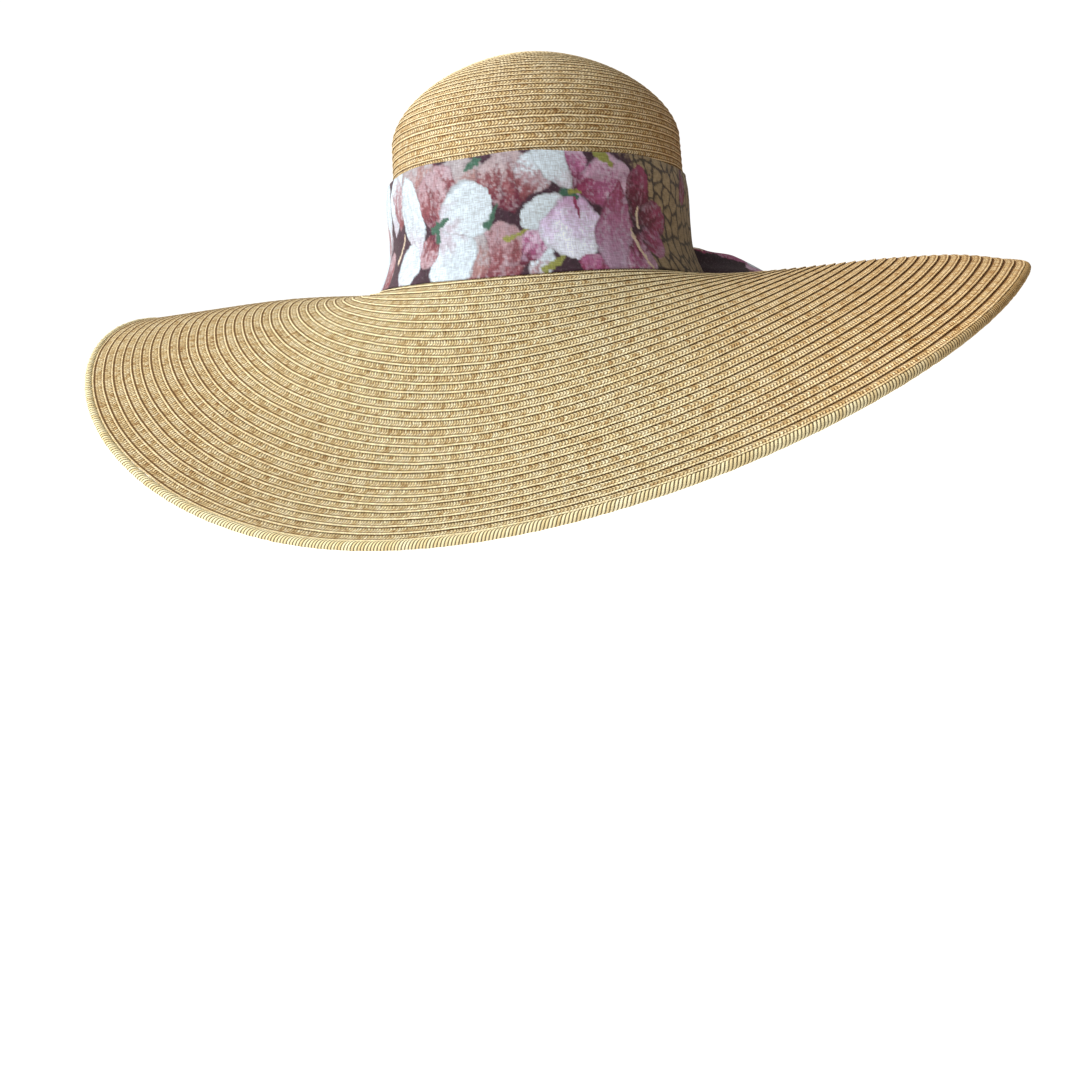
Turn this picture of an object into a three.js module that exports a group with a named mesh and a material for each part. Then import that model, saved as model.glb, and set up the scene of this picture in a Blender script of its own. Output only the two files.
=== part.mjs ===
import * as THREE from "three";

// Wide-brimmed sun hat of sewn paper-straw braid, with a wired edge, a ribbon sweatband inside
// and a printed scarf tied round the crown.
//
// Millimetres. The origin is the centre of the head opening, where crown and brim meet. +Z runs up
// through the crown, the hat's front faces -Y and the wearer's left is +X. `turn` is the angle round
// the hat, from +X towards +Y. `out` is the distance along the brim from the crown to the edge.

// Braid
const BRAID = 1.6; // thickness of the sewn rows
const GAP = 0.35; // clearance between neighbouring pieces
const LAP = 2.0; // width of the overlap where one stretch of rows covers the next
const LAP_LIFT = BRAID + GAP + 0.05; // height of a stretch's outer edge above the rows that it covers

// Crown: half widths of its outer face at the shoulder line's foot, and its heights
const CROWN_SIDE_HALF = 85.5; // across the head
const CROWN_FRONT_HALF = 100; // front to back
const CROWN_HEIGHT = 125;
const SHOULDER_HEIGHT = 78;
const SHOULDER_SCALE = 0.955; // how far the wall has drawn in at the shoulder
const DOME_POWER = 1.18; // 1 is an ellipse; above 1 the dome is softer
const DOME_LEAN = { x: 5, y: -13 }; // the top sits a little forward
const FLARE = 4.15; // how far the wall's foot turns out to meet the brim
const FLARE_HEIGHT = 22;
const BUTTON_RADIUS = 9;

// Brim
const BRIM_WIDTH = 176; // along the surface, from crown to edge
const BRIM_ROWS = 32;
const EDGE_ROLL = 2.7; // radius of the rolled edge round the wire
const BINDING_WIDTH = 10;
const ROWS_END = BRIM_WIDTH - 5; // the last row stops inside the binding
const ROW_PITCH = ROWS_END / BRIM_ROWS;

// Slope of the brim below the horizontal, in degrees, at four stations from the crown to the edge.
// Round the hat it has one dip, two raised sides and a slight three-fold ripple, each given as
// [amount, direction].
const BRIM_SLOPES = [
  { mean: 16, dip: [9, -76], raise: [19, 13], ripple: [0, 0] },
  { mean: 30, dip: [6.5, -134], raise: [30, 15], ripple: [13, 15] },
  { mean: 24.5, dip: [6.5, 180], raise: [23, 19], ripple: [5, -11] },
  { mean: 20.5, dip: [8, 131], raise: [15, 20], ripple: [6.5, -7] },
];

// Edge wire
const WIRE_RADIUS = 0.75;
const WIRE_INSET = 2.7; // from the edge to the wire's centre
const JOINER = { turn: 96, inner: 1.1, outer: 1.45, length: 10 };

// Sweatband: a ribbon inside the foot of the crown, joined at the back
const SWEATBAND = { low: 2, high: 32, thickness: 1.2 };
const SWEATBAND_JOIN_TURN = 90;
const JOIN_TAPE = { halfTurn: 5, low: 4, high: 30, thickness: 0.9 };
const SIZE_TAB = { turn: 106, halfTurn: 4, low: 6, high: 18, thickness: 0.8 };

// Scarf
const SCARF_BAND = { low: 1.5, high: 60, inside: 0.4, thickness: 1.0 };
const BAND_LOOSE_FROM = 28; // above this height the band stands clear of the wall, to pass the dome's rows
const BAND_LOOSE = 1.3;
const BAND_FOOT_FLARE = 1.6;
const KNOT = { turn: 72, height: 27, halfWidth: 17, halfHeight: 14, halfDepth: 9 };
const TAIL_THICKNESS = 2.4;
const TAIL_WIDTHS = [16, 50]; // at the knot and at the hem
const TAIL_REST = 2.7; // clearance under a tail that lies on the lapped rows

// Mesh fineness
const BRIM_SIDES = 60;
const CROWN_SIDES = 48;

const radians = THREE.MathUtils.degToRad;
const { lerp, smoothstep } = THREE.MathUtils;

/** Slope at one station, in radians. */
function stationSlope({ mean, dip, raise, ripple }, turn) {
  const once = dip[0] * Math.cos(turn - radians(dip[1]));
  const twice = -raise[0] * Math.cos(2 * (turn - radians(raise[1])));
  const thrice = ripple[0] * Math.cos(3 * (turn - radians(ripple[1])));
  return radians(mean + once + twice + thrice);
}

/** Slope at distance `out`, blended between the stations by a cubic Bezier. */
function brimSlope(out, turn) {
  const [a, b, c, d] = BRIM_SLOPES.map((station) => stationSlope(station, turn));
  const t = out / BRIM_WIDTH;
  const u = 1 - t;
  return a * u ** 3 + 3 * b * t * u ** 2 + 3 * c * t ** 2 * u + d * t ** 3;
}

/** Point at angle `turn` on an ellipse, moved out along its normal. */
function ellipsePoint(sideHalf, frontHalf, turn, outward, height) {
  const cos = Math.cos(turn);
  const sin = Math.sin(turn);
  const normal = new THREE.Vector2(cos / sideHalf, sin / frontHalf).normalize();
  const x = sideHalf * cos + normal.x * outward;
  const y = frontHalf * sin + normal.y * outward;
  return new THREE.Vector3(x, y, height);
}

/** Top face of the brim. */
function brimSurface(out, turn) {
  const steps = Math.max(1, Math.ceil(out / 4));
  const step = out / steps;
  let reach = 0;
  let drop = 0;
  for (let i = 0; i < steps; i += 1) {
    const slope = brimSlope((i + 0.5) * step, turn);
    reach += Math.cos(slope) * step;
    drop += Math.sin(slope) * step;
  }
  const foot = FLARE + GAP;
  return ellipsePoint(CROWN_SIDE_HALF + foot, CROWN_FRONT_HALF + foot, turn, reach, -drop);
}

/** Outer face of the crown: `down` is 0 at the top, 1 at the shoulder and 2 at the head opening. */
function crownSurface(down, turn) {
  if (down <= 1) {
    const rise = radians(90) * (1 - down);
    const scale = SHOULDER_SCALE * Math.cos(rise) ** DOME_POWER;
    const lift = Math.sin(rise) ** DOME_POWER;
    const height = lerp(SHOULDER_HEIGHT, CROWN_HEIGHT, lift);
    const point = ellipsePoint(CROWN_SIDE_HALF * scale, CROWN_FRONT_HALF * scale, turn, 0, height);
    point.x += DOME_LEAN.x * lift;
    point.y += DOME_LEAN.y * lift;
    return point;
  }
  const height = SHOULDER_HEIGHT * (2 - down);
  const scale = lerp(SHOULDER_SCALE, 1, down - 1);
  const flare = FLARE * Math.max(0, 1 - height / FLARE_HEIGHT) ** 2;
  return ellipsePoint(CROWN_SIDE_HALF * scale, CROWN_FRONT_HALF * scale, turn, flare, height);
}

/** `down` of a height on the crown's wall. */
function wallAt(height) {
  return 2 - height / SHOULDER_HEIGHT;
}

/** Point of a surface with its unit directions: outward from the crown, round the hat, and normal. */
function surfaceFrame(surface, along, turn) {
  const small = 1e-3;
  const point = surface(along, turn);
  const outward = surface(along + small, turn).sub(surface(along - small, turn)).normalize();
  const round = surface(along, turn + small).sub(surface(along, turn - small)).normalize();
  const normal = outward.clone().cross(round).normalize();
  return { point, outward, round, normal };
}

/** Point lifted off a surface along its normal. */
function lifted(surface, along, turn, lift) {
  const { point, normal } = surfaceFrame(surface, along, turn);
  return point.addScaledVector(normal, lift);
}

/** Equally spaced angles for a whole ring. */
function ringTurns(sides) {
  return Array.from({ length: sides }, (_, i) => radians((360 * i) / sides));
}

/** Angles from one direction to another, both included, in degrees. */
function arcTurns(from, to, steps) {
  return Array.from({ length: steps + 1 }, (_, i) => radians(lerp(from, to, i / steps)));
}

/** Evenly spaced values, both ends included. */
function spread(from, to, steps) {
  return Array.from({ length: steps + 1 }, (_, i) => lerp(from, to, i / steps));
}

/** Closed body through cross-sections of equal point counts; a ring joins its last to its first. */
function loft(sections, isRing) {
  const size = sections[0].length;
  const positions = sections.flat().flatMap((point) => point.toArray());
  const index = [];
  const spans = isRing ? sections.length : sections.length - 1;
  for (let i = 0; i < spans; i += 1) {
    const here = i * size;
    const next = ((i + 1) % sections.length) * size;
    for (let j = 0; j < size; j += 1) {
      const k = (j + 1) % size;
      index.push(here + j, here + k, next + k);
      index.push(here + j, next + k, next + j);
    }
  }
  if (!isRing) {
    const last = (sections.length - 1) * size;
    for (let j = 0; j < size / 2 - 1; j += 1) {
      const [b, c, d] = [j + 1, size - 2 - j, size - 1 - j];
      index.push(last + j, last + b, last + c, last + j, last + c, last + d);
      index.push(j, d, c, j, c, b);
    }
  }
  const geometry = new THREE.BufferGeometry();
  geometry.setAttribute("position", new THREE.Float32BufferAttribute(positions, 3));
  geometry.setIndex(index);
  geometry.computeVertexNormals();
  return geometry;
}

/** Sheet that follows a surface: `course` lists [along, lift of its outer face]. */
function sheetSections(surface, course, thickness, turns) {
  return turns.map((turn) => {
    const outer = course.map(([along, lift]) => lifted(surface, along, turn, lift));
    const inner = course.map(([along, lift]) => lifted(surface, along, turn, lift - thickness));
    return [...outer, ...inner.reverse()];
  });
}

const hat = new THREE.Group();

/** Adds a named piece in its own material. */
function addPiece(name, geometry, color, roughness, metalness = 0) {
  const material = new THREE.MeshStandardMaterial({ color, roughness, metalness });
  const mesh = new THREE.Mesh(geometry, material);
  mesh.name = name;
  hat.add(mesh);
  return mesh;
}

const STRAW = "#cdb78a";
const EDGE_STRAW = "#d9cda6";
const RIBBON = "#d8cbb0";
const LABEL = "#f1ede2";
const STEEL = "#9a9a98";
const PRINT = "#8f5a6b";

/** The coiled start of the braid at the crown's top. */
function addCrownButton() {
  const radius = BUTTON_RADIUS - GAP;
  const crest = CROWN_HEIGHT + 0.3;
  const profile = [
    new THREE.Vector2(0, crest - 2.6),
    new THREE.Vector2(radius - 0.3, crest - 3.2),
    new THREE.Vector2(radius, crest - 1.9),
    new THREE.Vector2(radius - 1.2, crest - 0.7),
    new THREE.Vector2(0, crest),
  ];
  const geometry = new THREE.LatheGeometry(profile, 24);
  geometry.rotateX(Math.PI / 2);
  geometry.scale(1, CROWN_FRONT_HALF / CROWN_SIDE_HALF, 1);
  const mesh = addPiece("crown_button", geometry, STRAW, 0.8);
  mesh.position.set(DOME_LEAN.x, DOME_LEAN.y, 0);
}

/** Rows of the dome; their lowest row covers the top row of the wall. */
function addCrownTop() {
  const hole = Math.acos((BUTTON_RADIUS / CROWN_SIDE_HALF / SHOULDER_SCALE) ** (1 / DOME_POWER));
  const start = 1 - hole / radians(90);
  const foot = wallAt(SHOULDER_HEIGHT - LAP);
  const downs = [...spread(start, 1, 6), foot];
  const course = downs.map((down) => [down, LAP_LIFT * smoothstep(down, 0.6, 1)]);
  const sections = sheetSections(crownSurface, course, BRAID, ringTurns(CROWN_SIDES));
  addPiece("crown_top", loft(sections, true), STRAW, 0.8);
}

/** Rows of the wall, turned out at the foot. */
function addCrownSide() {
  const heights = [SHOULDER_HEIGHT, SHOULDER_HEIGHT - LAP, 50, FLARE_HEIGHT, 14, 7, 3, 0];
  const course = heights.map((height) => [wallAt(height), 0]);
  const sections = sheetSections(crownSurface, course, BRAID, ringTurns(CROWN_SIDES));
  addPiece("crown_side", loft(sections, true), STRAW, 0.8);
}

/** A stretch of brim rows. Its outer edge rises to lie on the next stretch. */
function addBrimStretch(name, fromRow, toRow, steps, isLast) {
  const from = fromRow * ROW_PITCH;
  const to = toRow * ROW_PITCH;
  const start = fromRow === 0 ? [0] : [from - LAP, from];
  const end = isLast ? [BRIM_WIDTH - BINDING_WIDTH, to] : [to - LAP, to];
  const outs = [...start, ...spread(from, end[0], steps).slice(1, -1), ...end];
  const rise = isLast ? 0 : LAP_LIFT;
  const course = outs.map((out) => [out, rise * Math.max(0, (out - from) / (to - from))]);
  const sections = sheetSections(brimSurface, course, BRAID, ringTurns(BRIM_SIDES));
  addPiece(name, loft(sections, true), STRAW, 0.8);
}

/** Folded braid round the edge: two flanges that grip the last row, and a roll for the wire. */
function addEdgeBinding() {
  const flange = 0.8;
  const flangeGap = BRAID / 2 + GAP;
  const wall = 0.8;
  const hollow = EDGE_ROLL - wall;
  const rollStart = BRIM_WIDTH - EDGE_ROLL;
  const flangeEnd = BRIM_WIDTH - BINDING_WIDTH;
  const turned = (radius, angle) => [
    rollStart + radius * Math.sin(radians(angle)),
    radius * Math.cos(radians(angle)),
  ];
  const outerRoll = [-35, 10, 50, 90, 130, 170, 215].map((angle) => turned(EDGE_ROLL, angle));
  const innerRoll = [230, 180, 135, 90, 45, 0, -50].map((angle) => turned(hollow, angle));
  const profile = [
    [flangeEnd, flangeGap + flange],
    ...outerRoll,
    [flangeEnd, -flangeGap - flange],
    [flangeEnd, -flangeGap],
    ...innerRoll,
    [flangeEnd, flangeGap],
  ];
  const sections = ringTurns(BRIM_SIDES).map((turn) => {
    const { point, outward, normal } = surfaceFrame(brimSurface, rollStart - 1, turn);
    return profile.map(([out, height]) => {
      const corner = point.clone().addScaledVector(outward, out - rollStart + 1);
      return corner.addScaledVector(normal, height - BRAID / 2);
    });
  });
  addPiece("brim_edge_binding", loft(sections, true), EDGE_STRAW, 0.75);
}

/** Spring wire that holds the edge in shape; its ends meet inside a joiner sleeve. */
function addEdgeWire() {
  const along = BRIM_WIDTH - WIRE_INSET;
  const endGap = 0.1;
  const turns = arcTurns(JOINER.turn + endGap, JOINER.turn + 360 - endGap, 72);
  const sides = 6;
  const sections = turns.map((turn) => {
    const { point, outward, normal } = surfaceFrame(brimSurface, along, turn);
    return Array.from({ length: sides }, (_, i) => {
      const angle = radians(30 + (360 * i) / sides);
      const corner = point.clone().addScaledVector(outward, WIRE_RADIUS * Math.sin(angle));
      return corner.addScaledVector(normal, WIRE_RADIUS * Math.cos(angle) - BRAID / 2);
    });
  });
  addPiece("brim_wire", loft(sections, false), STEEL, 0.35, 0.9);
}

function addWireJoiner() {
  const { inner, outer, length } = JOINER;
  const half = length / 2;
  const profile = [
    new THREE.Vector2(inner, -half),
    new THREE.Vector2(outer, -half),
    new THREE.Vector2(outer, half),
    new THREE.Vector2(inner, half),
    new THREE.Vector2(inner, -half),
  ];
  const along = BRIM_WIDTH - WIRE_INSET;
  const { point, round, normal } = surfaceFrame(brimSurface, along, radians(JOINER.turn));
  const mesh = addPiece("wire_joiner", new THREE.LatheGeometry(profile, 16), STEEL, 0.4, 0.9);
  mesh.position.copy(point.addScaledVector(normal, -BRAID / 2));
  mesh.quaternion.setFromUnitVectors(new THREE.Vector3(0, 1, 0), round);
}

/** Strip of ribbon or label that lines the crown's foot, `depth` in from the wall's outer face. */
function liningSections({ low, high, thickness }, depth, turns, rows) {
  const course = spread(high, low, rows).map((height) => [wallAt(height), -depth]);
  return sheetSections(crownSurface, course, thickness, turns);
}

function addSweatband() {
  const slit = 0.4;
  const from = SWEATBAND_JOIN_TURN + slit;
  const turns = arcTurns(from, from + 360 - 2 * slit, CROWN_SIDES);
  const depth = BRAID + GAP + 0.1;
  addPiece("sweatband", loft(liningSections(SWEATBAND, depth, turns, 4), false), RIBBON, 0.85);

  const tapeDepth = depth + SWEATBAND.thickness + GAP;
  const tapeTurns = arcTurns(
    SWEATBAND_JOIN_TURN - JOIN_TAPE.halfTurn,
    SWEATBAND_JOIN_TURN + JOIN_TAPE.halfTurn,
    4,
  );
  const tape = liningSections(JOIN_TAPE, tapeDepth, tapeTurns, 4);
  addPiece("sweatband_join", loft(tape, false), RIBBON, 0.85);

  const tabTurns = arcTurns(
    SIZE_TAB.turn - SIZE_TAB.halfTurn,
    SIZE_TAB.turn + SIZE_TAB.halfTurn,
    3,
  );
  const tab = liningSections(SIZE_TAB, tapeDepth, tabTurns, 2);
  addPiece("size_tab", loft(tab, false), LABEL, 0.8);
}

/** The scarf folded into a band; it stands off the crown's flared foot. */
function addScarfBand() {
  const { low, high, inside, thickness } = SCARF_BAND;
  const heights = [high, 52, 44, 36, BAND_LOOSE_FROM, FLARE_HEIGHT, 14, 7, low];
  const course = heights.map((height) => {
    const flare = BAND_FOOT_FLARE * (1 - smoothstep(height, low, FLARE_HEIGHT));
    const loose = BAND_LOOSE * smoothstep(height, BAND_LOOSE_FROM, high);
    return [wallAt(height), inside + thickness + flare + loose];
  });
  const sections = sheetSections(crownSurface, course, thickness, ringTurns(CROWN_SIDES));
  addPiece("scarf_band", loft(sections, true), PRINT, 0.85);
}

function addScarfKnot() {
  const turn = radians(KNOT.turn);
  const { point, normal, outward, round } = surfaceFrame(crownSurface, wallAt(KNOT.height), turn);
  const bandFace = SCARF_BAND.inside + SCARF_BAND.thickness;
  const geometry = new THREE.SphereGeometry(1, 16, 10);
  geometry.scale(KNOT.halfWidth, KNOT.halfHeight, KNOT.halfDepth);
  const mesh = addPiece("scarf_knot", geometry, PRINT, 0.85);
  const basis = new THREE.Matrix4().makeBasis(round, outward.clone().negate(), normal);
  mesh.quaternion.setFromRotationMatrix(basis);
  mesh.position.copy(point.addScaledVector(normal, bandFace + GAP + KNOT.halfDepth));
}

/**
 * A free end of the scarf, lying on the brim. `route` lists [out, turn in degrees, lift] along its
 * middle and `widths` its width at both ends.
 */
function addScarfTail(name, route, widths, steps) {
  const curve = new THREE.CatmullRomCurve3(route.map((stop) => new THREE.Vector3(...stop)));
  const across = 4;
  const sections = curve.getPoints(steps).map((stop, i) => {
    const t = i / steps;
    const ahead = curve.getPoint(Math.min(1, t + 0.01));
    const behind = curve.getPoint(Math.max(0, t - 0.01));
    const { outward, round, normal } = surfaceFrame(brimSurface, stop.x, radians(stop.y));
    const course = brimSurface(ahead.x, radians(ahead.y));
    course.sub(brimSurface(behind.x, radians(behind.y))).normalize();
    const side = course.clone().cross(normal).normalize();
    const perTurn = brimSurface(stop.x, radians(stop.y) + 0.01)
      .distanceTo(brimSurface(stop.x, radians(stop.y))) / 0.01;
    const half = lerp(widths[0], widths[1], smoothstep(t, 0, 0.7)) / 2;
    const top = [];
    const under = [];
    for (const reach of spread(-half, half, across)) {
      const out = stop.x + reach * side.dot(outward);
      const turn = radians(stop.y) + (reach * side.dot(round)) / perTurn;
      top.push(lifted(brimSurface, out, turn, stop.z + TAIL_THICKNESS));
      under.push(lifted(brimSurface, out, turn, stop.z));
    }
    return [...top, ...under.reverse()];
  });
  addPiece(name, loft(sections, false), PRINT, 0.85);
}

addCrownButton();
addCrownTop();
addCrownSide();
addBrimStretch("brim_inner", 0, 11, 4, false);
addBrimStretch("brim_middle", 11, 22, 4, false);
addBrimStretch("brim_outer", 22, BRIM_ROWS, 4, true);
addEdgeBinding();
addEdgeWire();
addWireJoiner();
addSweatband();
addScarfBand();
addScarfKnot();
addScarfTail("scarf_tail_side", [
  [8.2, 64.9, 25],
  [20, 60.5, 22.5],
  [34, 57, 18],
  [48, 53, 12],
  [66, 51, 4],
  [86, 53, TAIL_REST],
  [108, 59, TAIL_REST],
  [130, 66, TAIL_REST],
  [150, 71, TAIL_REST],
], TAIL_WIDTHS, 16);
addScarfTail("scarf_tail_back", [
  [7, 76, 28],
  [20, 81, 19.5],
  [36, 87, 11.5],
  [54, 94, 6],
  [74, 99, TAIL_REST],
  [96, 102, TAIL_REST],
  [120, 103, TAIL_REST],
  [144, 104, TAIL_REST],
], TAIL_WIDTHS, 16);

export default hat;
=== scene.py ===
import math

import bmesh
import bpy
import numpy as np
from mathutils import Matrix, Vector


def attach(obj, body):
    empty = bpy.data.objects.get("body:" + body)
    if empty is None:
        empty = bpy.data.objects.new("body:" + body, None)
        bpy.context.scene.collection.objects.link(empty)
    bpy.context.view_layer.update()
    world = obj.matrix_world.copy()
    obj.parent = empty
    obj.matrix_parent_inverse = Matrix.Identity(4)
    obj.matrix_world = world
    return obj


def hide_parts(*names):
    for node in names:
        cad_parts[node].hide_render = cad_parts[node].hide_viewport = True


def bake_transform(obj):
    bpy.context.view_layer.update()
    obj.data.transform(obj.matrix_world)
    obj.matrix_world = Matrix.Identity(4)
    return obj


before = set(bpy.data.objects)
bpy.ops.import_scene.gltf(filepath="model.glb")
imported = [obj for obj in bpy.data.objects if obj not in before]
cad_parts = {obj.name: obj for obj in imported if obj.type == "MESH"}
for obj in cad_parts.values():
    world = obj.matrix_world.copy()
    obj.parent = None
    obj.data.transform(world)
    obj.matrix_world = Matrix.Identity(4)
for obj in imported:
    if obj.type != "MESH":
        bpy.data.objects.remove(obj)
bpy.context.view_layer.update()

MM = 0.001

# The hat's measurements, as in the CAD source, in metres
BRAID = 1.6 * MM
GAP = 0.35 * MM
SIDE_HALF = 85.5 * MM
FRONT_HALF = 100 * MM
CROWN_HEIGHT = 125 * MM
SHOULDER_HEIGHT = 78 * MM
SHOULDER_SCALE = 0.955
DOME_POWER = 1.18
DOME_LEAN = (5 * MM, -13 * MM)
FLARE = 4.15 * MM
FLARE_HEIGHT = 22 * MM
BUTTON_RADIUS = 9 * MM
BRIM_WIDTH = 176 * MM
BRIM_ROWS = 32
ROW_PITCH = (BRIM_WIDTH - 5 * MM) / BRIM_ROWS
CROWN_PITCH = 3.75 * MM
EDGE_ROLL = 2.7 * MM
# The brim's slope below the horizontal at four stations from the crown to the edge, in degrees: its
# mean, then (size, direction) of the parts with one, two and three waves round the hat
BRIM_SLOPES = [
    (16, (9, -76), (19, 13), (0, 0)),
    (30, (6.5, -134), (30, 15), (13, 15)),
    (24.5, (6.5, 180), (23, 19), (5, -11)),
    (20.5, (8, 131), (15, 20), (6.5, -7)),
]
# Distance between the points that the brim's shape is read from
TABLE_STEP = 0.5 * MM

# How far the soft join of crown and brim has sunk, in mm, as (turn, half-width, depth)
JOIN_SAGS = [(8, 32, 4.4), (204, 32, 0.9)]

# Shallow dips further out on the brim, as (turn, half-width, out, half-width in mm, depth in mm)
BRIM_DIPS = [
    (197, 14, 118, 55, 3.0),
    (19, 15, 176, 26, 5.5),
    (288, 22, 176, 45, -1.7),
    (336, 28, 176, 45, -1.2),
]

# Where the brim's edge has been pulled a little further out, as (turn, half-width, share)
BRIM_PULL = (23, 17, 0.042)

# Where the rolled edge has slipped under the last row's lip: the middle of that stretch, the
# half-width with the whole slip, and the half-width beyond which there is none
EDGE_SLIP = (-28, 38, 62)
SLIP_INWARD = 1.15 * MM
SLIP_DOWN = 1.4 * MM
WIRE_RADIUS = 0.75 * MM

# The scarf, in millimetres
BAND_HEIGHT = 60
BAND_THICKNESS = 0.75
TAIL_HALF_WIDTHS = (8, 25)
TAIL_THICKNESS = 0.6

# The knot's direction in degrees, and its height and distance off the crown's wall in millimetres
KNOT_TURN = 72
KNOT_HEIGHT = 27
KNOT_OUT = 10.75

# Shares of x and y in the direction along which light and shade are painted into the straw
PAINTED_LIGHT_WAY = (0.906, 0.423)
FLOOR_HEIGHT = -0.36


def bell(turn, middle, spread):
    """1 in a direction given in degrees, falling smoothly to nearly 0 at two spreads from it."""
    return np.exp(-((turned_from(turn, middle) / math.radians(spread)) ** 2))


def turned_from(turn, middle):
    """Angle from a direction given in degrees, between half a turn back and half a turn on."""
    return (turn - math.radians(middle) + np.pi) % (2 * np.pi) - np.pi


def join_sag(turn):
    """Depth by which the head opening's edge hangs below the level, in metres."""
    return sum(depth * MM * bell(turn, middle, spread) for middle, spread, depth in JOIN_SAGS)


def brim_dip(out, turn):
    """Depth of the brim's dips, in metres."""
    total = join_sag(turn) * (1 - ramp(20 * MM, 110 * MM, out))
    for middle, spread, centre, reach, depth in BRIM_DIPS:
        beyond = (out / MM - centre) / reach
        total = total + depth * MM * bell(turn, middle, spread) * np.exp(-(beyond**2))
    return total


def brim_slope(out, turn):
    """Slope of the brim below the horizontal, in radians."""
    stations = []
    for mean, dip, lift, ripple in BRIM_SLOPES:
        slope = mean + dip[0] * np.cos(turn - np.radians(dip[1]))
        slope = slope - lift[0] * np.cos(2 * (turn - np.radians(lift[1])))
        slope = slope + ripple[0] * np.cos(3 * (turn - np.radians(ripple[1])))
        stations.append(np.radians(slope))
    a, b, c, d = stations
    t = out / BRIM_WIDTH
    u = 1 - t
    return a * u**3 + 3 * b * t * u**2 + 3 * c * t**2 * u + d * t**3


def ellipse_point(side, front, turn, outward):
    """x and y on an ellipse, moved out along its normal."""
    cos, sin = np.cos(turn), np.sin(turn)
    nx, ny = cos / np.maximum(side, 1e-9), sin / np.maximum(front, 1e-9)
    length = np.hypot(nx, ny)
    return side * cos + nx / length * outward, front * sin + ny / length * outward


def brim_surface(out, turn):
    """Top face of the brim. Both arguments are arrays: rows share a turn, columns a distance."""
    turn = turn[:, :1]
    fine = np.arange(0, BRIM_WIDTH + 4 * MM, TABLE_STEP)[None, :]
    slope = brim_slope(fine + TABLE_STEP / 2, turn)
    start = np.zeros((len(turn), 1))
    reach = np.hstack([start, np.cumsum(np.cos(slope), 1) * TABLE_STEP])
    drop = np.hstack([start, np.cumsum(np.sin(slope), 1) * TABLE_STEP])
    at = np.clip(out, 0, BRIM_WIDTH + 3 * MM) / TABLE_STEP
    cell = np.floor(at).astype(int)
    part = at - cell

    def read(table):
        here = np.take_along_axis(table, cell, 1)
        return here * (1 - part) + np.take_along_axis(table, cell + 1, 1) * part

    foot = FLARE + GAP
    middle, spread, share = BRIM_PULL
    pulled = share * bell(turn, middle, spread)
    reached = read(reach) * (1 + pulled) + np.minimum(out, 0)
    x, y = ellipse_point(SIDE_HALF + foot, FRONT_HALF + foot, turn, reached)
    return np.stack([x, y, -read(drop) - brim_dip(out, turn)], -1)


def crown_surface(down, turn):
    """Outer face of the crown: `down` is 0 at the top, 1 at the shoulder, 2 at the head opening."""
    rise = np.pi / 2 * (1 - np.minimum(down, 1))
    arch = np.clip(np.cos(rise), 0, 1) ** DOME_POWER
    lift = np.clip(np.sin(rise), 0, 1) ** DOME_POWER
    dome = down <= 1
    height = np.where(
        dome,
        SHOULDER_HEIGHT + (CROWN_HEIGHT - SHOULDER_HEIGHT) * lift,
        SHOULDER_HEIGHT * (2 - down),
    )
    wall_scale = SHOULDER_SCALE + (1 - SHOULDER_SCALE) * (down - 1)
    scale = np.where(dome, SHOULDER_SCALE * arch, wall_scale)
    flare = np.where(dome, 0, FLARE * np.maximum(0, 1 - height / FLARE_HEIGHT) ** 2)
    x, y = ellipse_point(SIDE_HALF * scale, FRONT_HALF * scale, turn, flare)
    lean = np.where(dome, lift, 0)
    sunk = join_sag(turn) * (1 - ramp(0, 40 * MM, height))
    return np.stack([x + DOME_LEAN[0] * lean, y + DOME_LEAN[1] * lean, height - sunk], -1)


def wall_at(height):
    """`down` of a height on the crown's wall."""
    return 2 - height / SHOULDER_HEIGHT


def unit(vectors):
    """The same directions with a length of 1."""
    return vectors / np.maximum(np.linalg.norm(vectors, axis=-1, keepdims=True), 1e-12)


def surface_frame(surface, along, turn):
    """Points of a surface with unit directions outward, round the hat, and off the surface."""
    step = TABLE_STEP if surface is brim_surface else 2e-5
    point = surface(along, turn)
    outward = unit(surface(along + step, turn) - surface(along - step, turn))
    around = unit(surface(along, turn + 1e-4) - surface(along, turn - 1e-4))
    normal = unit(np.cross(outward, around))
    return point, outward, around, normal


def ramp(low, high, value):
    """0 at low and 1 at high, smooth between."""
    t = np.clip((value - low) / (high - low), 0, 1)
    return t * t * (3 - 2 * t)


def wobble(turns, seed, low, high):
    """A repeatable uneven wave round the hat, about -1 to 1, with waves from low to high a turn."""
    chance = np.random.default_rng(seed)
    waves = chance.integers(low, high, 6)
    phases = chance.uniform(0, 2 * np.pi, 6)
    return sum(np.cos(n * turns + p) for n, p in zip(waves, phases)) / 3


def ring_turns(count):
    """Evenly spaced turns round a full circle, from 0."""
    return np.arange(count) * 2 * np.pi / count


# Colours


def linear(*rgb):
    """Linear colour of 0-255 display values."""
    value = np.array(rgb, float) / 255
    return np.where(value <= 0.04045, value / 12.92, ((value + 0.055) / 1.055) ** 2.4)


# Meshes


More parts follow.
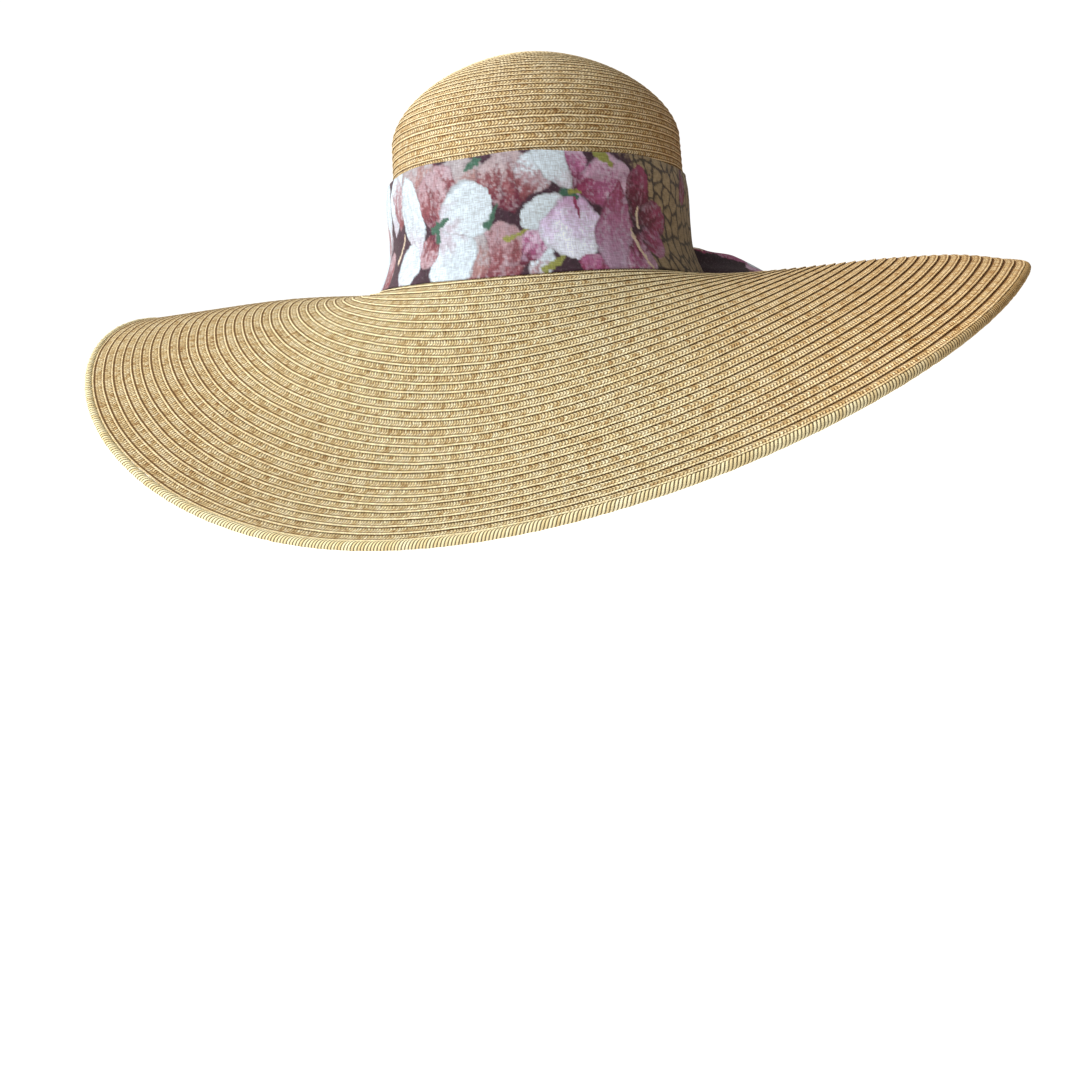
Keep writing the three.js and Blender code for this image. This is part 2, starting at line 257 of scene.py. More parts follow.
def grid_mesh(name, points, uv=None, closed=(True, True), colour=None):
    """Mesh through a grid of points. `uv` gives, for each cell column, its v at both sides and the
    number of repeats of u round the grid."""
    rows, columns = points.shape[:2]
    row_cells = rows if closed[0] else rows - 1
    column_cells = columns if closed[1] else columns - 1
    i, j = np.meshgrid(np.arange(row_cells), np.arange(column_cells), indexing="ij")
    i2, j2 = (i + 1) % rows, (j + 1) % columns
    quads = np.stack([i * columns + j, i * columns + j2, i2 * columns + j2, i2 * columns + j], -1)
    quads = quads.reshape(-1, 4)
    mesh = bpy.data.meshes.new(name)
    mesh.vertices.add(rows * columns)
    mesh.vertices.foreach_set("co", points.astype(np.float32).ravel())
    mesh.loops.add(quads.size)
    mesh.loops.foreach_set("vertex_index", quads.astype(np.int32).ravel())
    mesh.polygons.add(len(quads))
    mesh.polygons.foreach_set("loop_start", np.arange(0, quads.size, 4, dtype=np.int32))
    mesh.polygons.foreach_set("use_smooth", np.ones(len(quads), bool))
    if uv is not None:
        v_from, v_to, repeats = (np.broadcast_to(a, column_cells)[j] for a in uv)
        u_from, u_to = i / row_cells * repeats, (i + 1) / row_cells * repeats
        corners = [(u_from, v_from), (u_from, v_to), (u_to, v_to), (u_to, v_from)]
        flat = np.stack([np.stack(c, -1) for c in corners], 2)
        layer = mesh.uv_layers.new(name="thread")
        layer.data.foreach_set("uv", flat.astype(np.float32).ravel())
    if colour is not None:
        paint = mesh.attributes.new("print", "FLOAT_COLOR", "POINT")
        rgba = np.concatenate([colour, np.ones(colour.shape[:-1] + (1,))], -1)
        paint.data.foreach_set("color", rgba.astype(np.float32).ravel())
    mesh.update(calc_edges=True)
    if not closed[0]:
        weld(mesh)
    mesh.validate()
    return linked_object(name, mesh)


def linked_object(name, data):
    """An object of the scene that shows a mesh, a lamp or a camera."""
    thing = bpy.data.objects.new(name, data)
    bpy.context.scene.collection.objects.link(thing)
    return thing


def weld(mesh):
    """Joins the corners that meet at a strip's ends, so that its surface is closed."""
    work = bmesh.new()
    work.from_mesh(mesh)
    bmesh.ops.remove_doubles(work, verts=work.verts, dist=1e-6)
    work.to_mesh(mesh)
    work.free()


def finish_piece(thing, material, slot, body, *nodes):
    """Gives a piece its material and ties it to the CAD model."""
    thing.data.materials.append(material)
    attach(thing, body)
    if nodes:
        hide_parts(*nodes)
    return thing


# Materials


class Wire:
    """A number that a node tree works out. Arithmetic with it adds the nodes that do it."""

    def __init__(self, nodes, socket):
        self.nodes = nodes
        self.socket = socket

    def __abs__(self):
        return self.nodes.math("ABSOLUTE", self)

    def __add__(self, other):
        return self.nodes.math("ADD", self, other)

    def __mul__(self, other):
        return self.nodes.math("MULTIPLY", self, other)

    def __sub__(self, other):
        return self.nodes.math("SUBTRACT", self, other)

    def __rsub__(self, other):
        return self.nodes.math("SUBTRACT", other, self)

    __radd__ = __add__


class Nodes:
    """Short names for building a node tree."""

    def __init__(self, tree):
        self.tree = tree

    def link(self, value, socket):
        value = value.socket if isinstance(value, Wire) else value
        if isinstance(value, bpy.types.NodeSocket):
            self.tree.links.new(value, socket)
        else:
            socket.default_value = value

    def node(self, kind, *values, **settings):
        """A node whose first sockets take the values."""
        made = self.tree.nodes.new(kind)
        for key, value in settings.items():
            setattr(made, key, value)
        for value, socket in zip(values, made.inputs):
            self.link(value, socket)
        return made

    def wire(self, made, output=0):
        return Wire(self, made.outputs[output])

    def math(self, operation, *values):
        return self.wire(self.node("ShaderNodeMath", *values, operation=operation))

    def most(self, first, second):
        return self.math("MAXIMUM", first, second)

    def wave(self, value, length):
        return self.math("SINE", value * (2 * math.pi / length))

    def smooth(self, value, low, high, to_low=0.0, to_high=1.0):
        values = (value, low, high, to_low, to_high)
        return self.wire(self.node("ShaderNodeMapRange", *values, interpolation_type="SMOOTHSTEP"))

    def combine(self, x, y, z=0.0):
        return self.node("ShaderNodeCombineXYZ", x, y, z).outputs[0]

    def uv(self):
        place = self.node("ShaderNodeUVMap", uv_map="thread").outputs[0]
        split = self.node("ShaderNodeSeparateXYZ", place)
        return self.wire(split, 0), self.wire(split, 1)

    def noise(self, vector, scale, detail=2.0, roughness=0.5):
        made = self.node("ShaderNodeTexNoise")
        sockets = {"Vector": vector, "Scale": scale, "Detail": detail, "Roughness": roughness}
        for name, value in sockets.items():
            self.link(value, made.inputs[name])
        return self.wire(made, "Fac")

    def chance(self, vector):
        return self.wire(self.node("ShaderNodeTexWhiteNoise", vector), "Value")

    def threads(self, place, full):
        """The number of the thread at a place, and its rounded top, which is 0 beside the gap."""
        number = self.math("FLOOR", place)
        phase = place - number
        from_gap = self.math("MINIMUM", phase, 1 - phase) * 2
        return number, self.smooth(from_gap, 0.1, full)

    def place(self):
        return self.node("ShaderNodeTexCoord").outputs["Object"]

    def quarters(self):
        """Metres from the hat's middle towards the quarter where light and shade are painted into the
        straw, and height.
        """
        split = self.node("ShaderNodeSeparateXYZ", self.place())
        x, y, z = (self.wire(split, k) for k in range(3))
        return x * PAINTED_LIGHT_WAY[0] + y * PAINTED_LIGHT_WAY[1], z

    def ramp(self, value, stops):
        made = self.node("ShaderNodeValToRGB", value)
        band = made.color_ramp
        while len(band.elements) < len(stops):
            band.elements.new(0.5)
        for element, (at, colour) in zip(band.elements, stops):
            element.position = at
            element.color = (*colour, 1)
        return made.outputs[0]

    def mix(self, factor, first, second, blend="MIX"):
        made = self.node("ShaderNodeMix", factor, data_type="RGBA", blend_type=blend)
        for value, socket in ((first, made.inputs[6]), (second, made.inputs[7])):
            linked = isinstance(value, bpy.types.NodeSocket)
            self.link(value if linked else (*value, 1), socket)
        return made.outputs[2]


class Finish(Nodes):
    """The shader of one material."""

    def __init__(self, name, roughness, sheen=0.0, metallic=0.0, gloss=0.35):
        self.material = bpy.data.materials.new(name)
        self.material.use_nodes = True
        super().__init__(self.material.node_tree)
        self.shader = self.tree.nodes["Principled BSDF"]
        self.shader.inputs["Roughness"].default_value = roughness
        self.shader.inputs["Metallic"].default_value = metallic
        self.shader.inputs["Sheen Weight"].default_value = sheen
        self.shader.inputs["Specular IOR Level"].default_value = gloss

    def bump(self, height, distance, strength):
        made = self.node("ShaderNodeBump")
        sockets = {"Strength": strength, "Distance": distance, "Height": height}
        for name, value in sockets.items():
            self.link(value, made.inputs[name])
        self.link(made.outputs[0], self.shader.inputs["Normal"])

    def paint(self, colour):
        self.link(colour, self.shader.inputs["Base Color"])
        return self.material


STRAW_PALE = linear(255, 246, 208)
STRAW_LIP_AND_HIGHLIGHT = linear(252, 244, 208)
STRAW_LIGHT = linear(240, 222, 172)
STRAW_TAN = linear(216, 192, 140)
STRAW_OCHRE = linear(188, 154, 104)
STRAW_BROWN = linear(152, 116, 76)
# Painted shade for the gaps between strands, the spine and the groove inside the lip.
STRAW_GAP_SHADE = linear(118, 88, 46)
# Painted shade for the crease under each lip.
CREVICE_SHADE = linear(108, 76, 38)


def braid_material():
    """Plaited paper straw: chevrons of strands, a smooth pale lip that is partly painted highlight, and
    painted shade in the crease under it.
    u counts strands along a row, and v counts rows, from each row's hidden edge to its lip."""
    n = Finish("straw_braid", 0.7, gloss=0.22)
    u, v = n.uv()
    painted_light_reach, height = n.quarters()
    # Masks of the two quarters where light and shade are painted: the quarter facing the lamp, and the warm
    # quarter away from it.
    lamp_facing_side = n.smooth(painted_light_reach, -0.07, -0.2)
    warm_shade_side = n.smooth(painted_light_reach, 0.02, 0.2)
    crown = n.smooth(height, 0.045, 0.06)
    row = n.math("FLOOR", v)
    across = v - row
    from_spine = across - 0.42
    drift = n.noise(n.combine(u * 0.4, row * 3.1, across), 1.0)
    strand = u + abs(from_spine) * 1.7 + drift * 1.3
    strand_id, strand_top = n.threads(strand, 0.7)
    gap = 1 - strand_top
    side = n.math("GREATER_THAN", from_spine, 0.0)
    one = n.chance(n.combine(strand_id, row * 2 + side))
    run = n.combine(u * 0.45, row * 5.3, across)
    patch = n.smooth(n.noise(run, 1.0, 4.0, 0.65), 0.27, 0.66)
    stops = [
        (0.0, STRAW_BROWN),
        (0.12, STRAW_OCHRE),
        (0.3, STRAW_TAN),
        (0.52, STRAW_LIGHT),
        (0.82, STRAW_PALE),
    ]
    colour = n.ramp(one * 0.45 + patch * 0.55, stops)
    # Painted shade in the gaps between strands and along the spine where the row's two halves meet.
    colour = n.mix(gap * 0.74, colour, STRAW_GAP_SHADE)
    beside_spine = n.smooth(abs(from_spine), 0.0, 0.07)
    colour = n.mix((1 - beside_spine) * 0.4, colour, STRAW_GAP_SHADE)

    # The pale lip is partly the folded edge's own paler straw and partly painted highlight, painted weaker
    # on both side quarters.
    lip = n.smooth(across, 0.83, 0.87) * n.smooth(across, 0.99, 0.965)
    lip_one = n.chance(n.combine(n.math("FLOOR", u), row + 0.5))
    lip_colour_and_highlight = n.mix(lip_one * 0.5 + patch * 0.5, STRAW_LIGHT, STRAW_LIP_AND_HIGHLIGHT)
    colour = n.mix(lip * (0.9 - n.most(lamp_facing_side, warm_shade_side) * 0.35), colour, lip_colour_and_highlight)
    # Painted shade in the groove inside each lip: dotted, and unbroken on the quarter facing the lamp.
    groove_shade = n.smooth(across, 0.63, 0.71) * n.smooth(across, 0.875, 0.845)
    dotted = 0.66 + n.most(gap, lamp_facing_side) * 0.34
    colour = n.mix(groove_shade * dotted, colour, STRAW_GAP_SHADE)
    # Painted shade in the crease under each row's lip and on the lip's underside: dotted in broken dashes,
    # wider and unbroken on the warm quarter and on the crown.
    broken = n.smooth(n.noise(n.combine(u * 0.8, row, 7.0), 1.0, 3.0, 0.6), 0.3, 0.62)
    dashes = gap * (0.3 + broken * 0.7)
    solid = n.most(dashes, n.most(warm_shade_side, crown * 0.55))
    crease = n.smooth(across - (warm_shade_side * 0.1 + crown * 0.07), 0.23, 0.09)
    dark = n.most(crease * (0.3 + solid * 0.7), n.smooth(across, 0.975, 0.99))
    colour = n.mix(dark * 0.95, colour, CREVICE_SHADE)

    fibre = n.noise(n.combine(strand * 0.8, v * 26.0), 2.0)
    mottle = n.smooth(n.noise(n.place(), 520.0, 3.0, 0.6), 0.3, 0.7)
    tints = [
        (0.6, n.mix(fibre, (0.60, 0.58, 0.56), (1.38, 1.38, 1.40))),
        (0.6, n.mix(mottle, (0.74, 0.70, 0.66), (1.22, 1.24, 1.22))),
        # Painted warm light on the quarter away from the lamp.
        (warm_shade_side, (1.36, 1.16, 1.02)),
        # Slightly darker and warmer on the quarter facing the lamp.
        (lamp_facing_side, (0.97, 0.91, 0.86)),
        (crown, (1.13, 1.07, 1.05)),
        # Painted shade on the crown's two sides: deep on the side away from the lamp, lighter on the side
        # facing it.
        (crown * n.smooth(painted_light_reach, 0.015, 0.09), (0.66, 0.59, 0.55)),
        (crown * n.smooth(painted_light_reach, -0.045, -0.1), (0.80, 0.75, 0.70)),
    ]
    for share, tint in tints:
        colour = n.mix(share, colour, tint, "MULTIPLY")
    relief = strand_top * (1 - lip * 0.6) + fibre * 0.15
    n.bump(relief * (0.55 + beside_spine * 0.45), 0.5 * MM, 0.9)
    return n.paint(colour)


def rope_material():
    """Pale straw whipped round the edge; u counts stitches."""
    n = Finish("edge_braid", 0.8, gloss=0.12)
    u, v = n.uv()
    stitch = u + v
    stitch_id, top = n.threads(stitch, 0.55)
    one = n.chance(n.combine(stitch_id, 3.0))
    patch = n.noise(n.combine(u * 0.07, 2.0), 1.0, 3.0)
    stops = [(0.1, STRAW_TAN), (0.3, STRAW_LIGHT), (0.6, linear(250, 238, 194)), (0.85, STRAW_PALE)]
    colour = n.ramp(one * 0.5 + patch * 0.5, stops)
    # Painted shade between the stitches.
    colour = n.mix((1 - top) * 0.92, colour, linear(84, 66, 42))
    fibre = n.noise(n.combine(stitch * 5.0, v * 0.6), 1.5)
    colour = n.mix(0.5, colour, n.mix(fibre, (0.72, 0.70, 0.66), (1.2, 1.2, 1.2)), "MULTIPLY")
    # Painted shade: the edge is darker and browner on the quarter away from the lamp.
    painted_light_reach, _ = n.quarters()
    colour = n.mix(n.smooth(painted_light_reach, 0.1, 0.22), colour, (0.56, 0.42, 0.30), "MULTIPLY")
    n.bump(top + fibre * 0.3, 0.35 * MM, 0.8)
    return n.paint(colour)


def cloth_material():
    """Printed plain weave: the print is on the mesh, and the threads show through it."""
    n = Finish("scarf_print", 0.85, sheen=0.15)
    base = n.node("ShaderNodeAttribute", attribute_name="print").outputs["Color"]
    u, v = n.uv()
    warp_run = n.noise(n.combine(u * 2.2, v * 0.22), 1.0)
    weft_run = n.noise(n.combine(u * 0.22, v * 2.2, 4.0), 1.0)
    threads = warp_run * 0.5 + weft_run * 0.5
    grain = n.smooth(threads, 0.36, 0.66)
    colour = n.mix(1.0, base, n.mix(grain, (0.72, 0.70, 0.70), (1.16, 1.16, 1.16)), "MULTIPLY")
    worn = n.noise(n.combine(u, v, 9.0), 0.55, 3.0, 0.6)
    colour = n.mix(n.smooth(worn, 0.52, 0.78, 0.0, 0.14), colour, linear(186, 186, 190))
    weave = n.wave(u, 0.7) * n.wave(v, 0.7)
    n.bump(weave * 0.35 + threads * 0.9, 0.16 * MM, 0.7)
    return n.paint(colour)


def ribbon_material():
    """Ribbed grosgrain; u is in millimetres along the ribbon."""
    n = Finish("sweatband_ribbon", 0.8, sheen=0.2)
    u, v = n.uv()
    rib = n.wave(u, 0.9)
    soil = n.noise(n.combine(u * 0.03, v * 0.1), 1.0, 3.0)
    colour = n.mix(soil, linear(206, 190, 158), linear(232, 220, 194))
    # Painted shade in the troughs between the ribs.
    colour = n.mix(n.smooth(rib, 0.2, -1.0, 0.0, 0.35), colour, linear(150, 132, 104))
    n.bump(rib, 0.12 * MM, 0.8)
    return n.paint(colour)


def label_material():
    """Blank woven tape."""
    n = Finish("label_tape", 0.75, sheen=0.15)
    u, v = n.uv()
    weave = n.math("SINE", u * 14.0) * n.math("SINE", v * 14.0)
    soil = n.noise(n.combine(u, v), 0.3, 3.0)
    n.bump(weave, 0.08 * MM, 0.6)
    return n.paint(n.mix(soil, linear(222, 216, 202), linear(244, 240, 230)))


def grained_material(name, scale, detail, depth, strength, dark, pale, **looks):
    """Two colours and a fine relief that follow the same noise."""
    n = Finish(name, **looks)
    grain = n.noise(n.place(), scale, detail)
    n.bump(grain, depth * MM, strength)
    return n.paint(n.mix(grain, linear(*dark), linear(*pale)))


# Braid

# Cross-section of one row, as (share of the pitch, height in mm, v): it starts in the crease under
# the last row's lip, swells, and ends in a rounded lip that overhangs the next row.
ROW_TOP = [
    (-0.05, -0.60, 0.002),
    (0.06, -0.42, 0.06),
    (0.2, -0.15, 0.2),
    (0.42, 0.06, 0.42),
    (0.64, 0.12, 0.64),
    (0.78, 0.05, 0.78),
    (0.85, 0.34, 0.85),
    (0.92, 0.46, 0.91),
    (0.985, 0.36, 0.955),
    (1.018, 0.08, 0.98),
    (0.985, -0.32, 0.998),
]
ROW_UNDER = [(0.84, -1.55), (0.45, -1.72), (0.08, -1.92), (-0.1, -2.05), (-0.16, -1.95), (-0.165, -1.62)]
WALL_UNDER = [(0.84, -1.30), (0.45, -1.42), (0.08, -1.62), (-0.1, -1.74), (-0.16, -1.68), (-0.165, -1.36)]
STRAND = 1.6 * MM
CROWN_STRAND = 1.9 * MM
# The undersides count their rows from here, so that their strands differ from the upper faces'
UNDERSIDE_ROWS = 300


def braid_rows(
    name, surface, edges, segments, first, sink=0.0, under=ROW_UNDER, relief=1.0, tuck=0.03, strand=STRAND
):
    """Lapped rows of braid between the given row edges, as one closed shell. `first` numbers its first
    row, and `tuck` is the share of a row that its inner edge reaches under the piece before."""
    turns = ring_turns(segments)
    count = len(edges) - 1
    along, lift, v_at, ring = [], [], [], []
    for k in range(count):
        row = first + k
        sway = 0.022 * wobble(turns, 50 + row, 9, 46)
        swell = 0.07 * wobble(turns, 400 + row, 30, 120)
        for part, height, v in ROW_TOP:
            if k == 0 and part < 0:
                part = -tuck - 0.02
            along.append(edges[k] + (part + sway * min(1, max(part, 0) * 2)) * (edges[k + 1] - edges[k]))
            lift.append((height * relief + swell * max(part, 0)) * MM - sink)
            v_at.append(row + v)
            ring.append(k)
    for k in reversed(range(count)):
        row = first + k
        sway = 0.02 * wobble(turns, 900 + row, 9, 46)
        for part, height in under:
            if k == 0:
                part = -tuck if part < 0 else part
            along.append(edges[k] + (part + sway * max(part, 0)) * (edges[k + 1] - edges[k]))
            lift.append(height * MM - sink)
            v_at.append(UNDERSIDE_ROWS + row + min(max(part + 0.1, 0.12), 0.8))
            ring.append(k)
    along = np.stack([np.broadcast_to(a, segments) for a in along], 1)
    lift = np.stack([np.broadcast_to(a, segments) for a in lift], 1)
    turn = np.repeat(turns[:, None], along.shape[1], 1)
    point, _, _, normal = surface_frame(surface, along, turn)
    points = point + normal * lift[..., None]
    length = np.linalg.norm(np.diff(points, axis=0, append=points[:1]), axis=2).sum(0)
    strands = {k: round(length[ring.index(k)] / strand) for k in range(count)}
    v_at = np.array(v_at)
    v_next = np.roll(v_at, -1)
    jump = np.floor(v_next) != np.floor(v_at)
    v_next = np.where(jump, np.floor(v_at) + 0.999, v_next)
    repeats = np.array([strands[k] for k in ring])
    return grid_mesh(name, points, (v_at, v_next, repeats))


def brim_edges(first, last):
    """Distances of the row edges from the head opening."""
    return np.arange(first, last + 1) * ROW_PITCH


def crown_edges():
    """`down` of the row edges from the crown's top to the head opening, at an even pitch."""
    down = np.linspace(0.0005, 2, 4000)[None, :]
    lengths = []
    for turn in np.radians([-90, -45, 0]):
        line = crown_surface(down, np.full_like(down, turn))[0]
        step = np.linalg.norm(np.diff(line, axis=0), axis=1)
        lengths.append(np.concatenate([[0], np.cumsum(step)]))
    length = np.mean(lengths, 0)
    rows = round(length[-1] / CROWN_PITCH)
    return np.interp(np.linspace(0, length[-1], rows + 1), length, down[0])


def rope_slip(turn):
    """How far the wired edge has slipped under the last row's lip, from 0 to 1."""
    middle, full, none = EDGE_SLIP
    return 1 - ramp(math.radians(full), math.radians(none), np.abs(turned_from(turn, middle)))


def rope_centre(turns):
    """Middle of the rolled edge, with unit directions outward and off the brim."""
    slip = rope_slip(turns)[:, None]
    centre = BRIM_WIDTH - EDGE_ROLL - 0.15 * MM - SLIP_INWARD * slip
    point, outward, _, normal = surface_frame(brim_surface, centre, turns[:, None])
    return point - normal * (BRAID / 2 + SLIP_DOWN * slip)[..., None], outward, normal


def edge_rope(material):
    """Straw whipped over the wired edge: slanted rounded stitches round a hollow roll."""
    stitches, samples = 900, 6
    turns = ring_turns(stitches * samples)
    centre, outward, normal = rope_centre(turns)
    angles = np.radians(np.linspace(-96, 258, 18))
    inner = np.radians(np.linspace(258, -96, 8))
    stitches_a_winding = 4.4
    shift = stitches_a_winding * np.concatenate([angles, inner]) / (2 * np.pi)
    phase = (turns[:, None] * stitches / (2 * np.pi) + shift[None, :]) % 1.0
    bulge = np.sqrt(np.clip(1 - (2 * phase - 1) ** 2, 0, 1))
    uneven = 0.09 * wobble(turns, 77, 60, 300)[:, None]
    outer_radius = (1.92 + 0.38 * bulge + uneven) * MM
    is_outer = np.arange(len(shift)) < len(angles)
    radius = np.where(is_outer[None, :], outer_radius, 1.6 * MM)
    angle = np.concatenate([angles, inner])[None, :]
    points = centre + outward * (radius * np.sin(angle))[..., None]
    points = points + normal * (radius * np.cos(angle))[..., None]
    v_next = np.append(shift[1:], shift[0])
    rope = grid_mesh("brim_edge_rope", points, (shift, v_next, stitches))
    return finish_piece(rope, material, "edge_braid", "hat", "brim_edge_binding")


def edge_wire(material):
    """Spring wire inside the rolled edge, with its two ends meeting in the joiner."""
    turns = np.radians(np.linspace(96.3, 455.7, 420))
    centre, outward, normal = rope_centre(turns)
    angle = ring_turns(10)[None, :]
    radius = np.full(len(turns), WIRE_RADIUS)
    radius[[0, -1]] = 0
    points = centre + outward * (radius[:, None] * np.sin(angle))[..., None]
    points = points + normal * (radius[:, None] * np.cos(angle))[..., None]
    wire = grid_mesh("edge_wire", points, closed=(False, True))
    return finish_piece(wire, material, "spring_wire", "hat", "brim_wire")


# Print

PALE = linear(206, 222, 235)
LILAC = linear(201, 172, 199)
ORCHID = linear(170, 98, 142)
MAGENTA = linear(142, 58, 96)
WINE = linear(104, 36, 60)
PLUM = linear(68, 42, 58)
RUST = linear(136, 76, 84)
CLAY = linear(174, 144, 154)
MIST = linear(168, 180, 196)
CREAM = linear(220, 204, 182)
OLIVE = linear(146, 150, 78)
GREEN = linear(64, 104, 88)
SAND = linear(158, 140, 110)
UMBER = linear(52, 44, 40)

# Each petal's heart, body and rim
PETAL_WHITE = (linear(200, 196, 212), PALE, PALE)
PETAL_LIGHT = (linear(206, 172, 214), linear(228, 216, 252), linear(230, 238, 255))
PETAL_PINK = (WINE, ORCHID, LILAC)
PETAL_HOT = (PLUM, MAGENTA, ORCHID)
PETAL_DEEP = (PLUM, WINE, MAGENTA)
PETAL_BRICK = (WINE, RUST, CLAY)
PETAL_DUSTY = (RUST, CLAY, PALE)
PETAL_MADDER = (WINE, RUST, linear(180, 164, 170))
PETAL_ASH = (RUST, linear(164, 126, 126), linear(166, 160, 166))
PETAL_BLUSH = (MAGENTA, linear(168, 112, 150), linear(176, 146, 176))


def hashed(ix, iy, seed):
    """Repeatable number from 0 to 1 for each whole-number cell."""
    h = (ix.astype(np.int64) * 374761393 + iy.astype(np.int64) * 668265263 + seed * 69069) & 0xFFFFFFFF
    h = ((h ^ (h >> 13)) * 1274126177) & 0xFFFFFFFF
    return ((h ^ (h >> 16)) & 0xFFFFFF) / float(0x1000000)


def noise(x, y, seed):
    """Smooth noise from 0 to 1 with cells one unit wide."""
    ix, iy = np.floor(x), np.floor(y)
    fx, fy = ramp(0, 1, x - ix), ramp(0, 1, y - iy)
    near = hashed(ix, iy, seed) * (1 - fx) + hashed(ix + 1, iy, seed) * fx
    far = hashed(ix, iy + 1, seed) * (1 - fx) + hashed(ix + 1, iy + 1, seed) * fx
    return near * (1 - fy) + far * fy


def layered(x, y, seed):
    """Smooth noise with two finer layers, from 0 to 1."""
    fine = noise(x * 2.1, y * 2.1, seed + 1) * 2 + noise(x * 4.3, y * 4.3, seed + 2)
    return (noise(x, y, seed) * 4 + fine) / 7


def cracks(x, y, cell, seed):
    """How far a point is from the nearest border of an irregular cell pattern, in cells."""
    x, y = x / cell, y / cell
    ix, iy = np.floor(x), np.floor(y)
    nearest = np.full(x.shape, 9.0)
    second = np.full(x.shape, 9.0)
    for dx in (-1, 0, 1):
        for dy in (-1, 0, 1):
            cx, cy = ix + dx, iy + dy
            px = cx + 0.15 + 0.7 * hashed(cx, cy, seed)
            py = cy + 0.15 + 0.7 * hashed(cx, cy, seed + 7)
            d = np.hypot(x - px, y - py)
            second = np.minimum(second, np.maximum(nearest, d))
            nearest = np.minimum(nearest, d)
    return second - nearest


